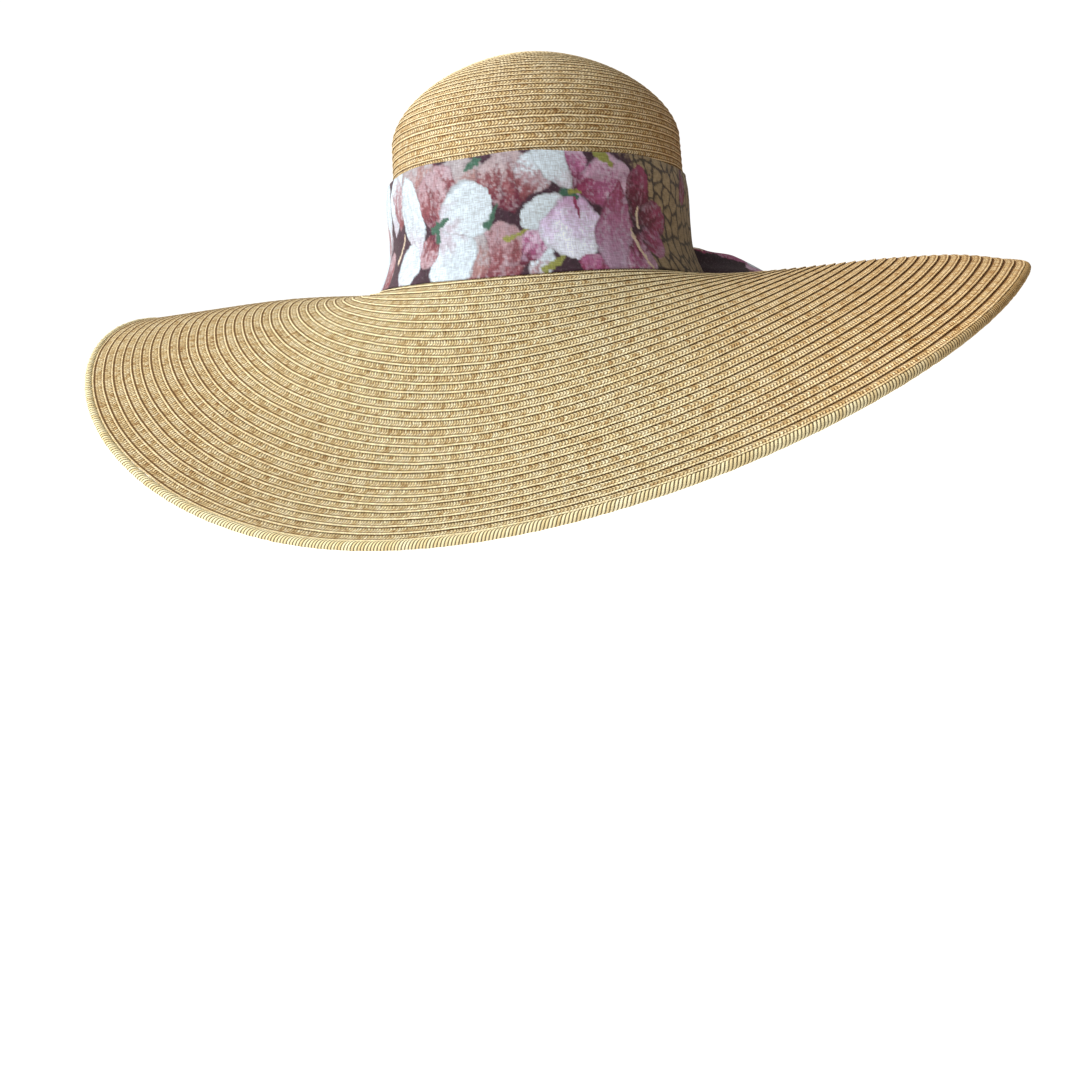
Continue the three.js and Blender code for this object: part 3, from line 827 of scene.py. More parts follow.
class Canvas:
    """Paint on points of cloth, whose flat coordinates are in millimetres."""

    def __init__(self, x, y):
        self.x, self.y = x, y
        self.warp_x, self.warp_y = (
            at + 3.0 * (layered(x / 7, y / 7, seed) - 0.5) + 0.9 * (noise(x / 1.4, y / 1.4, seed + 2) - 0.5)
            for at, seed in ((x, 1), (y, 5))
        )
        tone = layered(x / 2, y / 2, 11)[..., None]
        self.colour = SAND * (0.62 + 0.7 * tone)
        gap = cracks(self.warp_x, self.warp_y * 0.8, 7.5, 3)
        fray = 0.12 * (layered(x / 1.6, y / 1.6, 15) - 0.5)
        self.lay((1 - ramp(0.09, 0.24, gap + fray)) * 0.95, UMBER)

    def lay(self, mask, colour):
        """Puts a colour over what is there, as thickly as the mask says."""
        mask = np.clip(mask, 0, 1)[..., None]
        self.colour = self.colour * (1 - mask) + np.asarray(colour) * mask

    def patch(self, centre, radius, colour):
        """A painted patch of ground with a ragged outline."""
        d = np.hypot((self.warp_x - centre[0]) / radius[0], (self.warp_y - centre[1]) / radius[1])
        ragged = d + 0.35 * (layered(self.x / 5, self.y / 5, 21) - 0.5)
        tone = 0.6 + 0.8 * layered(self.x / 2.2, self.y / 4, 23)
        self.lay(1 - ramp(0.93, 1.0, ragged), np.asarray(colour) * tone[..., None])

    def petal(self, root, angle, length, width, colours, seed):
        """A rounded petal that grows from its root, in its heart's, body's and rim's colours."""
        heart, body, rim = colours
        turn = np.radians(angle)
        dx, dy = self.warp_x - root[0], self.warp_y - root[1]
        along = (dx * np.cos(turn) + dy * np.sin(turn)) / length
        across = (dy * np.cos(turn) - dx * np.sin(turn)) / (width / 2)
        inside = (along > 0) & (along < 1)
        half = np.sin(np.pi * np.clip(along, 0, 1) ** 1.35) ** 0.62
        half = half + 0.2 * (noise(along * 5, across * 1.5, seed) - 0.5)
        depth = np.where(inside, half - np.abs(across), -1)
        streak = layered(across * 4.5, along * 1.6, seed + 3)
        fleck = layered(self.x / 1.3, self.y / 1.3, seed + 4)
        paint = body + np.zeros(along.shape + (3,))
        to_rim = ramp(0.45, 0.8, along + 0.5 * (streak - 0.5) + 0.5 * (fleck - 0.5))[..., None]
        paint = paint * (1 - to_rim) + rim * to_rim
        to_heart = (1 - ramp(0.12, 0.5, along + 0.55 * (streak - 0.45) + 0.2 * (fleck - 0.5)))[..., None]
        paint = paint * (1 - to_heart) + heart * to_heart
        cloud = layered(self.x / 2.6, self.y / 2.6, seed + 5) * 0.6 + fleck * 0.4
        scumble = 0.6 * ramp(0.5, 0.72, cloud)[..., None]
        paint = paint * (1 - scumble) + scumble * (0.3 * body + 0.3 * rim + 0.4 * MIST)
        brush = noise(across * 6 + 2 * along, along * 2.2, seed + 6) * 0.55 + fleck * 0.45
        dry = 0.42 * (ramp(0.56, 0.66, brush) * ramp(0.1, 0.3, along))[..., None]
        paint = paint * (1 - dry) + dry * (0.7 * rim + 0.3 * PALE)
        paint *= (0.66 + 0.38 * streak + 0.38 * fleck)[..., None]
        paint *= 0.6 + 0.4 * ramp(0.0, 0.15, depth)[..., None]
        self.lay(ramp(-0.02, 0.06, depth), paint)

    def stroke(self, start, end, width, colour):
        """One brush stroke, thinner towards its far end."""
        start, end = np.array(start, float), np.array(end, float)
        way = end - start
        t = ((self.warp_x - start[0]) * way[0] + (self.warp_y - start[1]) * way[1]) / (way @ way)
        t = np.clip(t, 0, 1)
        d = np.hypot(self.warp_x - start[0] - way[0] * t, self.warp_y - start[1] - way[1] * t)
        rough = width * (1 - 0.6 * t) * (0.7 + 0.6 * noise(self.x / 1.5, self.y / 1.5, 31))
        self.lay(1 - ramp(0.35, 0.55, d / rough), colour)

    def star(self, x, y, size, tilt, seed):
        """Five broad petals, pink to white, round a green eye."""
        petals = [
            (84, 0.9, 0.5, PETAL_PINK),
            (12, 1.15, 0.85, (MAGENTA, ORCHID, LILAC)),
            (118, 1.0, 0.52, PETAL_WHITE),
            (207, 0.95, 0.46, PETAL_WHITE),
            (268, 1.0, 1.12, PETAL_LIGHT),
        ]
        for k, (angle, length, width, colours) in enumerate(petals):
            self.petal((x, y), tilt + angle, length * size, width * size, colours, seed + 10 * k)
        self.stroke((x - 0.12 * size, y), (x + 0.1 * size, y - 0.1 * size), 0.17 * size, GREEN)
        self.stroke((x - 0.02 * size, y), (x + 0.12 * size, y - 0.02 * size), 0.12 * size, OLIVE)
        stamen = (x + 0.05 * size, y - 0.12 * size), (x + 0.1 * size, y - 0.4 * size)
        self.stroke(*stamen, 0.07 * size, MAGENTA)

    def rose(self, x, y, size, tilt, outer, inner, seed):
        """Five petals of one kind, with three smaller ones of another over them."""
        for k in range(5):
            self.petal((x, y), tilt + 72 * k, size, 0.95 * size, outer, seed + 10 * k)
        for k in range(3):
            self.petal((x, y), tilt + 36 + 120 * k, 0.62 * size, 0.55 * size, inner, seed + 60 + 10 * k)
        self.stroke((x - 0.1 * size, y), (x + 0.12 * size, y + 0.08 * size), 0.16 * size, OLIVE)

    def spray(self, x, y, size, tilt, seed):
        """Narrow wine petals over a pink one, with cream strokes."""
        self.petal((x, y), tilt + 262, 0.95 * size, 0.6 * size, PETAL_PINK, seed)
        self.petal((x, y), tilt + 82, size, 0.5 * size, PETAL_DEEP, seed + 10)
        self.petal((x, y), tilt + 25, 0.75 * size, 0.55 * size, PETAL_DEEP, seed + 20)
        self.petal((x, y), tilt - 20, 0.6 * size, 0.42 * size, PETAL_HOT, seed + 30)
        self.stroke((x - 0.1 * size, y), (x + 0.12 * size, y - 0.55 * size), 0.09 * size, CREAM)
        self.stroke((x, y), (x + 0.06 * size, y + 0.35 * size), 0.08 * size, CREAM)
        self.stroke((x - 0.06 * size, y), (x + 0.08 * size, y), 0.12 * size, PLUM)


def band_print(x, y):
    """Flowers crowded over plum ground at the front, thinning out to the cracked sand ground. x runs
    along the band from its front, and y up from its lower edge."""
    c = Canvas(x, y)
    c.patch((-72, 30), (122, 64), PLUM)
    c.patch((-30, 12), (60, 26), 0.85 * PLUM)
    c.patch((-158, 30), (38, 60), 0.5 * CLAY + 0.4 * MIST)
    c.patch((232, 30), (52, 60), PLUM)
    c.petal((-128, 14), 96, 52, 24, PETAL_WHITE, 90)
    c.petal((-112, 26), 84, 38, 20, PETAL_WHITE, 93)
    c.petal((-152, 2), 88, 58, 26, PETAL_WHITE, 94)
    c.petal((-174, 10), 96, 50, 26, PETAL_DUSTY, 96)
    c.petal((-138, -6), 86, 40, 22, PETAL_WHITE, 97)
    c.petal((-117, -10), 94, 30, 13, PETAL_BRICK, 99)
    c.petal((-124, 4), 250, 20, 14, PETAL_BRICK, 95)
    c.petal((-136, 6), 80, 30, 16, PETAL_BRICK, 98)
    c.petal((-142, -12), 90, 34, 19, PETAL_WHITE, 91)
    c.petal((-104, 30), 84, 34, 26, PETAL_DUSTY, 100)
    c.petal((-70, 60), 215, 26, 26, PETAL_BRICK, 110)
    c.petal((-56, 34), 92, 28, 34, PETAL_ASH, 130)
    c.petal((-60, 36), 128, 27, 26, PETAL_BRICK, 120)
    c.petal((-28, 28), 96, 34, 34, PETAL_MADDER, 250)
    c.petal((-24, 36), 60, 26, 20, PETAL_DUSTY, 260)
    c.petal((-84, 38), 96, 30, 30, PETAL_ASH, 265)
    c.petal((-84, 8), 104, 50, 20, PETAL_WHITE, 200)
    c.petal((-72, 20), 92, 36, 22, PETAL_BRICK, 220)
    c.petal((-96, -6), 78, 26, 20, PETAL_WHITE, 225)
    c.petal((-34, -14), 92, 40, 29, PETAL_BRICK, 270)
    c.petal((-46, -8), 96, 30, 16, PETAL_ASH, 272)
    c.petal((-19, -10), 74, 24, 13, PETAL_DUSTY, 275)
    c.petal((-72, 24), 26, 37, 31, PETAL_WHITE, 280)
    c.petal((-58, 22), 270, 26, 22, PETAL_DUSTY, 285)
    c.petal((-70, 24), 302, 30, 30, PETAL_WHITE, 290)
    c.petal((-71, 25), 240, 21, 13, PETAL_BRICK, 300)
    c.stroke((-74, 25), (-64, 30), 5, GREEN)
    c.stroke((-71, 19), (-72, 29), 4, GREEN)
    c.stroke((-42, 24), (-35, 34), 4.5, GREEN)
    c.stroke((-106, 12), (-100, 26), 2.2, CREAM)
    c.stroke((-46, 58), (-52, 54), 6, GREEN)
    c.petal((-25, 4), 52, 23, 13, PETAL_PINK, 310)
    c.stroke((-32, 16), (-13, 23), 3.4, OLIVE)
    c.stroke((-13, 1), (3, 12), 4.4, OLIVE)
    c.star(3, 39, 34, 4, 330)
    c.petal((8, -9), 66, 18, 18, PETAL_HOT, 380)
    c.petal((31, 46), 262, 52, 25, PETAL_BLUSH, 390)
    c.spray(42, 19, 36, 0, 400)
    c.stroke((20, 60), (27, 54), 7, OLIVE)
    c.petal((99, 64), 255, 27, 12, PETAL_DEEP, 440)
    c.star(150, 30, 32, 40, 460)
    c.rose(196, 22, 22, 0, PETAL_BRICK, PETAL_DUSTY, 520)
    c.stroke((165, 8), (182, 16), 3.5, OLIVE)
    c.spray(232, 30, 32, 15, 560)
    c.rose(268, 34, 24, 30, PETAL_WHITE, PETAL_DUSTY, 600)
    c.rose(-250, 24, 24, 10, PETAL_BRICK, PETAL_WHITE, 660)
    c.star(-196, 32, 32, 20, 720)
    return c.colour


def end_print(x, y, seed):
    """The scarf's ends: plum ground by the knot, then petals over the sand ground. x runs from the
    knot, and y across."""
    x0, y0 = 31 * seed, 7 * seed
    c = Canvas(x + x0, y + y0)
    c.patch((x0 + 30, y0 + 6), (66, 38), 0.45 * PLUM)
    c.petal((x0 + 4, y0 - 9), 4, 42, 10, PETAL_DEEP, 800 + seed)
    c.petal((x0 + 36, y0 - 10), 6, 46, 15, PETAL_HOT, 820 + seed)
    c.stroke((x0 + 14, y0 - 6), (x0 + 36, y0 - 5), 4, CREAM)
    c.petal((x0 + 80, y0 + 18), 290, 30, 22, PETAL_PINK, 840 + seed)
    c.star(x0 + 100, y0 + 2, 28, 30 + 60 * seed, 860 + seed)
    c.spray(x0 + 132, y0 - 4, 24, 80, 880 + seed)
    c.stroke((x0 + 50, y0 - 18), (x0 + 74, y0 - 10), 4, OLIVE)
    return c.colour


# Scarf


def closed_sheet(outer, thickness, normals):
    """Grid columns for a sheet with rounded long edges: the outer face, then the inner face back."""
    inner = outer - normals * thickness
    first = outer[:, :1] - normals[:, :1] * thickness / 2
    last = outer[:, -1:] - normals[:, -1:] * thickness / 2
    lead_in = unit(outer[:, :1] - outer[:, 1:2]) * thickness * 0.5
    lead_out = unit(outer[:, -1:] - outer[:, -2:-1]) * thickness * 0.5
    return np.concatenate([outer, last + lead_out, inner[:, ::-1], first + lead_in], 1)


def brim_below(points, turns):
    """Height of the brim under points just outside the crown's foot, one for each turn."""
    turn = turns[:, None]
    outs = np.repeat(np.arange(0, 16, 0.5)[None, :] * MM, len(turns), 0)
    rim = brim_surface(np.zeros_like(turn), turn)
    ground = brim_surface(outs, turn)
    reach = np.linalg.norm((ground - rim)[..., :2], axis=-1)
    away = np.linalg.norm((points - rim[:, 0])[:, :2], axis=-1)
    return np.array([np.interp(a, r, z) for a, r, z in zip(away, reach, ground[..., 2])])


def scarf_band(material):
    """The folded scarf round the crown, with soft creases that gather towards the knot."""
    turns = ring_turns(860)
    z, turn = np.meshgrid(np.linspace(BAND_HEIGHT, 0, 76), turns)
    near = bell(turn, KNOT_TURN, 31)
    left, right = bell(turn, 206, 34), bell(turn, 24, 42)
    low = 1.0
    high = 58.6 - 1.9 * left - 4.2 * right + 0.5 * wobble(turns, 14, 3, 11)[:, None]
    height = (low + (high - low) * z / BAND_HEIGHT) * MM
    away = turned_from(turn, KNOT_TURN)
    loose = 1.05 + 1.1 * ramp(20, 50, z) - 0.9 * ramp(50, BAND_HEIGHT, z)
    loose = loose + 2.4 * (1 - ramp(0, 20, z)) + 1.1 * left - 0.9 * right * ramp(10, 40, z)
    fan = (z - KNOT_HEIGHT) / (0.35 + np.abs(away)) * 0.35
    crease = near * 1.1 * (0.5 + 0.5 * np.cos(fan * 1.35 + 0.6))
    slack = 0.2 * (wobble(turns, 5, 5, 16)[:, None] + 1) * ramp(20, 52, z)
    ripple = 0.14 * (1 + np.cos(0.16 * z + 2.4 * wobble(turns, 9, 3, 9)[:, None]))
    tuck = left * 0.9 * (0.5 + 0.5 * np.cos(30 * turn + 0.10 * z)) * (1 - ramp(10, 50, z))
    lift = (loose + crease + slack + ripple + tuck + 0.4) * MM
    down = wall_at(height)
    point, _, _, normal = surface_frame(crown_surface, down, turn)
    outer = point + normal * lift[..., None]
    clearance = 1.1 * MM
    settle = np.maximum(outer[:, -1, 2] - brim_below(outer[:, -1], turns) - clearance, 0)
    outer[..., 2] -= settle[:, None] * (1 - ramp(0, 20, z))
    waist = outer[:, z.shape[1] // 2]
    length = np.linalg.norm(np.diff(waist, axis=0, append=waist[:1]), axis=1)
    run = np.concatenate([[0], np.cumsum(length)[:-1]]) / MM
    girth = length.sum() / MM
    print_middle = math.radians(306)
    start = np.interp(print_middle, turns, run)
    x = (run - start + girth / 2) % girth - girth / 2
    colour = band_print(np.repeat(x[:, None], z.shape[1], 1), z)
    points = closed_sheet(outer, BAND_THICKNESS * MM, normal)
    inside = colour[:, ::-1] * 0.7 + 0.12
    colours = np.concatenate([colour, colour[:, -1:], inside, colour[:, :1]], 1)
    v = np.concatenate([z[0], [-1.0], z[0][::-1], [BAND_HEIGHT + 1.0]])
    band = grid_mesh("scarf_wrap", points, (v, np.roll(v, -1), girth), colour=colours)
    return finish_piece(band, material, "scarf_print", "scarf", "scarf_band")


def knot_frame():
    """The knot's middle, with unit directions round the hat, up the wall and off the wall."""
    along = np.array([[wall_at(KNOT_HEIGHT * MM)]])
    frame_at_wall = surface_frame(crown_surface, along, np.array([[math.radians(KNOT_TURN)]]))
    point, down, around, normal = (a[0, 0] for a in frame_at_wall)
    return point + normal * KNOT_OUT * MM, around, -down, normal


def scarf_knot(material):
    """A tied knot: a pleated core that runs sideways, and the end that loops over it."""
    centre, around, up, normal = knot_frame()

    def placed(wide, high, deep):
        shifts = wide[..., None] * around + high[..., None] * up + deep[..., None] * normal
        return centre + MM * shifts

    s, a = np.meshgrid(np.linspace(-1, 1, 41), ring_turns(120))
    body = np.sqrt(np.clip(1 - (s * 0.985) ** 2, 0, 1)) ** 0.72
    pleat = 1 + 0.085 * np.cos(7 * a + 2.2 * s) * (1 - 0.5 * body) + 0.03 * np.cos(13 * a - 3 * s)
    half_wide, half_high, half_deep = 16.2, 12.2, 7.6
    wide = half_wide * s
    high = half_high * body * pleat * np.sin(a)
    deep = half_deep * body * pleat * np.cos(a)
    tint = end_print((wide + 260) * 1.5 - 250, high * 2.2, 3)
    uv = (s[0, :-1] * 20, s[0, 1:] * 20, 70)
    core = grid_mesh("scarf_knot_core", placed(wide, high, deep), uv, (True, False), tint)

    outline = ring_turns(36)
    q, r = np.meshgrid(outline, ring_turns(110))
    width = 7.8 + 0.9 * np.cos(r - 0.6)
    fold = 0.22 * np.cos(3.2 * np.sin(q) * 3.1 + 1.2 * r)
    flat = np.sign(np.sin(q)) * np.abs(np.sin(q)) ** 0.75 * width
    thick = (1.25 + fold) * np.sign(np.cos(q)) * np.abs(np.cos(q)) ** 0.75
    high = (12.6 + thick) * np.sin(r)
    deep = (7.4 + thick) * np.cos(r)
    tint = end_print(flat * 2 + 20 + 12 * np.sin(r), 10 * np.cos(r), 4)
    v = outline / (2 * np.pi) * 36
    uv = (v, np.append(v[1:], 36.0), 62)
    loop = grid_mesh("scarf_knot_loop", placed(flat + 1.6 * np.sin(r + 0.4), high, deep), uv, colour=tint)
    finish_piece(core, material, "scarf_print", "scarf", "scarf_knot")
    finish_piece(loop, material, "scarf_print", "scarf")
    return core, loop


def smooth_path(stops, count):
    """Points on a Catmull-Rom curve through the stops."""
    stops = np.array(stops, float)
    ends = np.vstack([2 * stops[0] - stops[1], stops, 2 * stops[-1] - stops[-2]])
    t = np.linspace(0, len(stops) - 1, count)
    cell = np.minimum(t.astype(int), len(stops) - 2)
    f = (t - cell)[:, None]
    p0, p1, p2, p3 = (ends[cell + k] for k in range(4))
    bend = (2 * p0 - 5 * p1 + 4 * p2 - p3) * f**2
    twist = (3 * p1 - p0 - 3 * p2 + p3) * f**3
    return 0.5 * (2 * p1 + (p2 - p0) * f + bend + twist)


def scarf_tail(name, route, node, material, seed, droop):
    """A loose end of the scarf: pleats at the knot that open out, a curl to its edges, a hem."""
    steps, across = 170, 61
    path = smooth_path(route, steps)
    turn = np.radians(path[:, 1:2])
    out = path[:, :1] * MM
    point, outward, around, normal = surface_frame(brim_surface, out, turn)
    middle = (point + normal * (path[:, 2:3] * MM)[..., None])[:, 0]
    outward, around, normal = outward[:, 0], around[:, 0], normal[:, 0]
    course = unit(np.gradient(middle, axis=0))
    flat_course = unit(course - normal * (course * normal).sum(1, keepdims=True))
    side = unit(np.cross(flat_course, normal))
    t = np.linspace(0, 1, steps)
    narrow, wide = TAIL_HALF_WIDTHS
    half = (narrow + (wide - narrow) * ramp(0, 0.7, t))[:, None] * MM
    half = half * (1 - 0.03 * ramp(0.9, 1.0, t))[:, None]
    share = np.linspace(-1, 1, across)[None, :]
    reach = share * half
    spot_out = out + reach * (side * outward).sum(1, keepdims=True)
    spot_turn = turn + reach * (side * around).sum(1, keepdims=True) / round_rate(out, turn)
    spread = surface_frame(brim_surface, spot_out.reshape(-1, 1), spot_turn.reshape(-1, 1))
    spot, _, _, up = (a.reshape(steps, across, 3) for a in spread)
    arch = 6 * ramp(0.02, 0.2, t) + 3.5 * ramp(0.18, 0.36, t)
    level = path[:, 2:3] + (droop * arch * (1 - ramp(0.44, 0.8, t)))[:, None]
    leaning = droop * ramp(0.02, 0.16, t)[:, None] * ramp(-0.5, 1.0, share)
    level = level - (level - 1.2) * leaning
    open_out = 1 - ramp(0.0, 0.75, t)[:, None]
    pleats = (0.5 + 0.5 * np.cos(share * 8.5 + 0.8 + seed)) * (2.2 * open_out + 0.25)
    roll = 0.9 * np.abs(share) ** 5 * (0.6 + 0.4 * np.cos(9 * t + seed))[:, None]
    wave = 0.7 * (0.5 + 0.5 * np.cos(11 * t[:, None] + 1.5 * share + seed))
    lift = level + 0.9 + (pleats + roll + wave) * ramp(0, 0.1, t)[:, None]
    outer = spot + up * (lift * MM)[..., None]
    length = np.linalg.norm(np.diff(middle, axis=0), axis=1).sum()
    run = np.repeat(t[:, None] * length / MM, across, 1)
    cross = np.repeat(share * wide, steps, 0)
    colour = end_print(run, cross, seed)
    points = closed_sheet(outer, TAIL_THICKNESS * MM, up)
    colours = np.concatenate([colour, colour[:, -1:], colour[:, ::-1] * 0.75 + 0.08, colour[:, :1]], 1)
    v = np.concatenate([cross[0], [wide + 0.5], cross[0][::-1], [-wide - 0.5]])
    start, end = end_seams(points, across)
    points = np.concatenate([start, points, end + flat_course[-1] * TAIL_THICKNESS / 2 * MM], 0)
    colours = np.concatenate([colours[:1], colours, colours[-1:]], 0)
    tail = grid_mesh(name, points, (v, np.roll(v, -1), length / MM), (False, True), colours)
    tail.data.materials.append(material)
    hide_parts(node)
    return tail, middle, flat_course, length


def end_seams(points, across):
    """For a closed sheet with so many columns a face, the rows midway between both faces at its ends."""
    index = np.arange(2 * across + 2)
    facing = np.where(index % (across + 1) < across, 2 * across - index, index)
    return [(row + row[:, facing]) / 2 for row in (points[:1], points[-1:])]


def round_rate(out, turn):
    """Metres travelled round the brim for each radian of turn."""
    ahead = brim_surface(out, turn + 0.005)
    behind = brim_surface(out, turn - 0.005)
    return np.linalg.norm(ahead - behind, axis=-1) / 0.01


# Sewing


def stitches(name, points, directions, normals, length, width):
    """Short rounded stitches lying along the given directions."""
    rings, sides = 5, 6
    angle = ring_turns(sides)
    station = np.linspace(-1, 1, rings)
    girth = np.sqrt(np.clip(1 - (station * 0.96) ** 2, 0, 1))
    across = np.cross(normals, directions)
    grid = (
        points[:, None, None]
        + directions[:, None, None] * (station * length / 2)[None, :, None, None]
        + across[:, None, None] * (girth[:, None] * np.cos(angle) * width / 2)[None, :, :, None]
        + normals[:, None, None] * (girth[:, None] * np.sin(angle) * width / 2)[None, :, :, None]
    )
    mesh = bpy.data.meshes.new(name)
    faces = []
    for k in range(len(points)):
        base = k * rings * sides
        for i in range(rings - 1):
            for j in range(sides):
                a, b = base + i * sides + j, base + i * sides + (j + 1) % sides
                faces.append((a, b, b + sides, a + sides))
        faces.append(tuple(base + j for j in reversed(range(sides))))
        faces.append(tuple(base + (rings - 1) * sides + j for j in range(sides)))
    mesh.from_pydata(grid.reshape(-1, 3).tolist(), [], faces)
    mesh.polygons.foreach_set("use_smooth", np.ones(len(faces), bool))
    return linked_object(name, mesh)


def lining_strip(name, low, high, depth, thickness, from_turn, to_turn, steps, rows, bulge=0.0):
    """A strip of ribbon inside the crown's foot, between two heights and two turns in degrees. Its
    depth in the crown's wall, its thickness and its bulge are in mm, like the heights."""
    turns = np.linspace(math.radians(from_turn), math.radians(to_turn), steps)
    heights = np.linspace(high, low, rows) * MM
    height, turn = np.meshgrid(heights, turns)
    point, _, _, normal = surface_frame(crown_surface, wall_at(height), turn)
    wave = bulge * (0.5 + 0.5 * wobble(turns, 31, 5, 14)[:, None]) * ramp(low, high, height / MM)
    outer = point - normal * ((depth + wave * 0.4) * MM)[..., None]
    points = closed_sheet(outer, thickness * MM, normal)
    length = np.linalg.norm(np.diff(outer[:, 0], axis=0), axis=1).sum()
    v = np.concatenate([heights, [low * MM], heights[::-1], [high * MM]]) / MM
    start, end = end_seams(points, rows)
    points = np.concatenate([start, points, end], 0)
    return grid_mesh(name, points, (v, np.roll(v, -1), length / MM), (False, True))


def sweatband(ribbon, label, thread):
    """Ribbon round the inside of the head opening, its join, and a blank size tab."""
    strip = lining_strip("sweatband_ribbon", 2, 32, 2.25, 0.7, 90.6, 449.4, 340, 12, 0.5)
    finish_piece(strip, ribbon, "sweatband_ribbon", "hat", "sweatband")
    tape = lining_strip("sweatband_tape", 4, 30, 3.75, 0.6, 85, 95, 16, 10)
    finish_piece(tape, ribbon, "sweatband_ribbon", "hat", "sweatband_join")
    tab = lining_strip("size_tab_blank", 6, 18, 3.75, 0.5, 102, 110, 14, 8)
    finish_piece(tab, label, "label_tape", "hat", "size_tab")

    turns = ring_turns(170)[:, None]
    down = np.full_like(turns, wall_at(4 * MM))
    point, _, around, normal = (a[:, 0] for a in surface_frame(crown_surface, down, turns))
    face = point - normal * 3.0 * MM
    seam = stitches("sweatband_seam_low", face, around, normal, length=2.4 * MM, width=0.5 * MM)
    finish_piece(seam, thread, "sweatband_ribbon", "hat")


# Build

straw = braid_material()
rope = rope_material()
cloth = cloth_material()
ribbon = ribbon_material()
label = label_material()
thread = grained_material(
    "sewing_thread", 900.0, 2.0, 0.1, 0.7, (196, 176, 138), (240, 228, 200), roughness=0.6, sheen=0.2
)
steel = grained_material(
    "spring_wire", 700.0, 3.0, 0.03, 0.4, (140, 140, 138), (190, 190, 186), roughness=0.34, metallic=1.0
)

for name, first, last, segments, node in (
    ("brim_rows_inner", 0, 11, 460, "brim_inner"),
    ("brim_rows_middle", 11, 22, 560, "brim_middle"),
    ("brim_rows_outer", 22, 32, 680, "brim_outer"),
):
    tuck = 0.03 if first else 0.34
    rows = braid_rows(name, brim_surface, brim_edges(first, last), segments, 60 + first, tuck=tuck)
    finish_piece(rows, straw, "straw_braid", "hat", node)

edges = crown_edges()
hole = 1 - math.acos((BUTTON_RADIUS / SIDE_HALF / SHOULDER_SCALE) ** (1 / DOME_POWER)) / (math.pi / 2)
coil_rows = int(np.argmin(np.abs(edges - hole)))
wall_rows = int(np.argmin(np.abs(edges - 1)))
for name, first, last, segments, node in (
    ("crown_coil", 0, coil_rows, 72, "crown_button"),
    ("crown_rows_top", coil_rows, wall_rows, 340, "crown_top"),
    ("crown_rows_side", wall_rows, len(edges) - 1, 360, "crown_side"),
):
    rows = braid_rows(
        name, crown_surface, edges[first : last + 1], segments, first,
        sink=0.5 * MM, under=WALL_UNDER, relief=0.62, strand=CROWN_STRAND,
    )
    finish_piece(rows, straw, "straw_braid", "hat", node)

edge_rope(rope)
edge_wire(steel)
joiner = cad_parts["wire_joiner"]
joiner.data.materials.clear()
joiner.data.materials.append(steel)

sweatband(ribbon, label, thread)

band = scarf_band(cloth)
core, loop = scarf_knot(cloth)

# Each end's name, route as (out in mm, turn in degrees, height over the brim in mm), node, body, seed
# of its folds, and how far its first stretch droops onto the brim
TAILS = [
    (
        "scarf_end_side",
        [(8.2, 64.9, 25), (20, 60.5, 22.5), (34, 57, 18), (48, 53, 12), (66, 51, 4), (86, 53, 2.7),
         (108, 59, 2.7), (130, 66, 2.7), (150, 71, 2.7)],
        "scarf_tail_side", "side_tail", 1, 0.95,
    ),
    (
        "scarf_end_back",
        [(7, 76, 28), (20, 81, 19.5), (36, 87, 11.5), (54, 94, 6), (74, 99, 2.7), (96, 102, 2.7),
         (120, 103, 2.7), (144, 104, 2.7)],
        "scarf_tail_back", "back_tail", 2, 0.5,
    ),
]
for name, route, node, body, seed, droop in TAILS:
    tail, middle, course, length = scarf_tail(name, route, node, cloth, seed, droop)
    heading = Vector(course[2])
    heading.z = 0
    heading.normalize()
    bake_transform(tail)


# Studio


def camera():
    """The eye: the hat is turned, leaned and tipped a little in front of a level camera."""
    yaw, pitch = math.radians(25), math.radians(10.2)
    tilt, roll = math.radians(-0.8), math.radians(3.8)
    leaned = Matrix.Rotation(-roll, 3, "Y") @ Matrix.Rotation(-tilt, 3, "X")
    right = Vector((math.cos(yaw), math.sin(yaw), 0))
    ahead = Vector((-math.sin(yaw), math.cos(yaw), 0))
    eye = right * -0.004 - ahead * 0.677 + Vector((0, 0, -0.035))
    level = Vector((0, 0, 1))
    look = ahead * math.cos(pitch) - level * math.sin(pitch)
    up = ahead * math.sin(pitch) + level * math.cos(pitch)
    axes = Matrix((right, up, -look)).transposed()
    back = leaned.inverted()
    data = bpy.data.cameras.new("eye")
    data.sensor_width = 36
    data.lens = data.sensor_width * 55 / 54
    data.clip_start = 0.01
    data.clip_end = 50
    thing = linked_object("eye", data)
    thing.matrix_world = Matrix.Translation(back @ eye) @ (back @ axes).to_4x4()
    bpy.context.scene.camera = thing


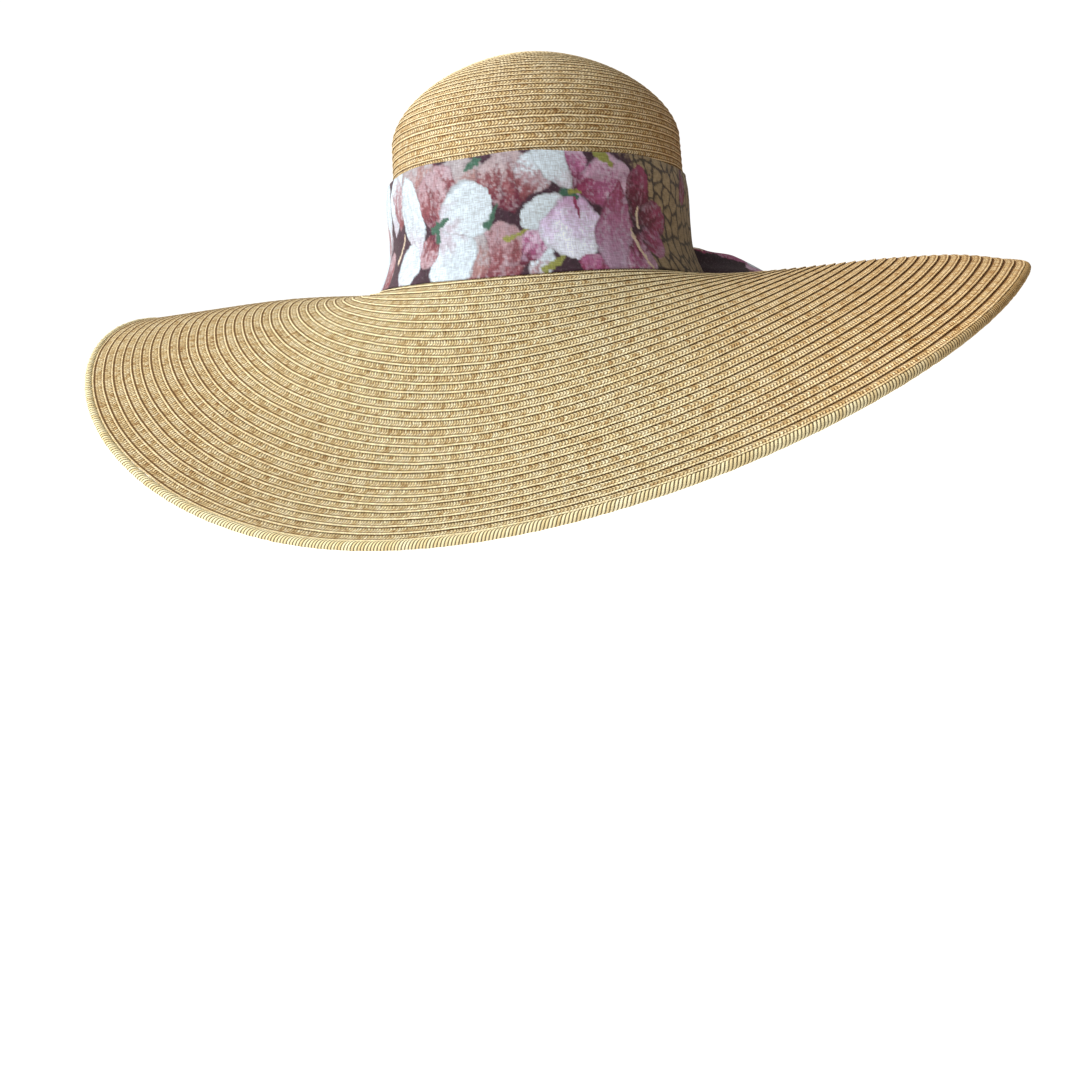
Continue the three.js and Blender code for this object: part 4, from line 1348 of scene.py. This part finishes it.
def key_light(place, size, power, colour):
    """A round soft light that faces the hat."""
    data = bpy.data.lights.new("key", "AREA")
    data.shape = "DISK"
    data.size = size
    data.energy = power
    data.color = colour
    thing = linked_object("key", data)
    thing.location = place
    thing.rotation_mode = "QUATERNION"
    thing.rotation_quaternion = (-Vector(place)).to_track_quat("-Z", "Y")


def studio():
    """Floor, sky and light. Both the floor and the sky look white, but throw less on the hat."""
    n = Finish("pale_floor", 0.9, gloss=0.0)
    grain = n.noise(n.place(), 3.0)
    n.paint(n.mix(grain, (0.93, 0.93, 0.93), (0.95, 0.95, 0.95)))
    n.link((1, 1, 1, 1), n.shader.inputs["Emission Color"])
    seen = n.node("ShaderNodeLightPath").outputs["Is Camera Ray"]
    n.link(n.math("MULTIPLY_ADD", seen, 0.45, 0.3), n.shader.inputs["Emission Strength"])
    place = (0, 0, FLOOR_HEIGHT)
    bpy.ops.mesh.primitive_circle_add(vertices=96, radius=14, fill_type="NGON", location=place)
    floor = bpy.context.object
    floor.name = "floor"
    floor.data.materials.append(n.material)

    world = bpy.data.worlds.new("studio")
    bpy.context.scene.world = world
    world.use_nodes = True
    n = Nodes(world.node_tree)
    way = n.node("ShaderNodeTexCoord").outputs["Generated"]
    bright_side = Vector((-0.55, -0.38, 0.74)).normalized()
    towards = n.node("ShaderNodeVectorMath", way, bright_side, operation="DOT_PRODUCT")
    soft = n.smooth(n.wire(towards, "Value"), -0.12, 0.95, 0.03, 1.0)
    light = n.tree.nodes["Background"]
    n.link(n.mix(soft, (1.0, 0.80, 0.60), (1.0, 1.0, 0.99)), light.inputs[0])
    n.link(soft, light.inputs[1])
    white = n.node("ShaderNodeBackground", (1, 1, 1, 1), 1.05)
    seen = n.node("ShaderNodeLightPath").outputs["Is Camera Ray"]
    shown = n.node("ShaderNodeMixShader", seen, light.outputs[0], white.outputs[0])
    n.link(shown.outputs[0], n.tree.nodes["World Output"].inputs[0])

    key_light((-1.25, -1.35, 1.2), size=0.8, power=39, colour=(1.0, 0.99, 0.96))
    bpy.context.scene.view_settings.view_transform = "Standard"


camera()
studio()


def corners(box):
    return [list(corner) for corner in box]
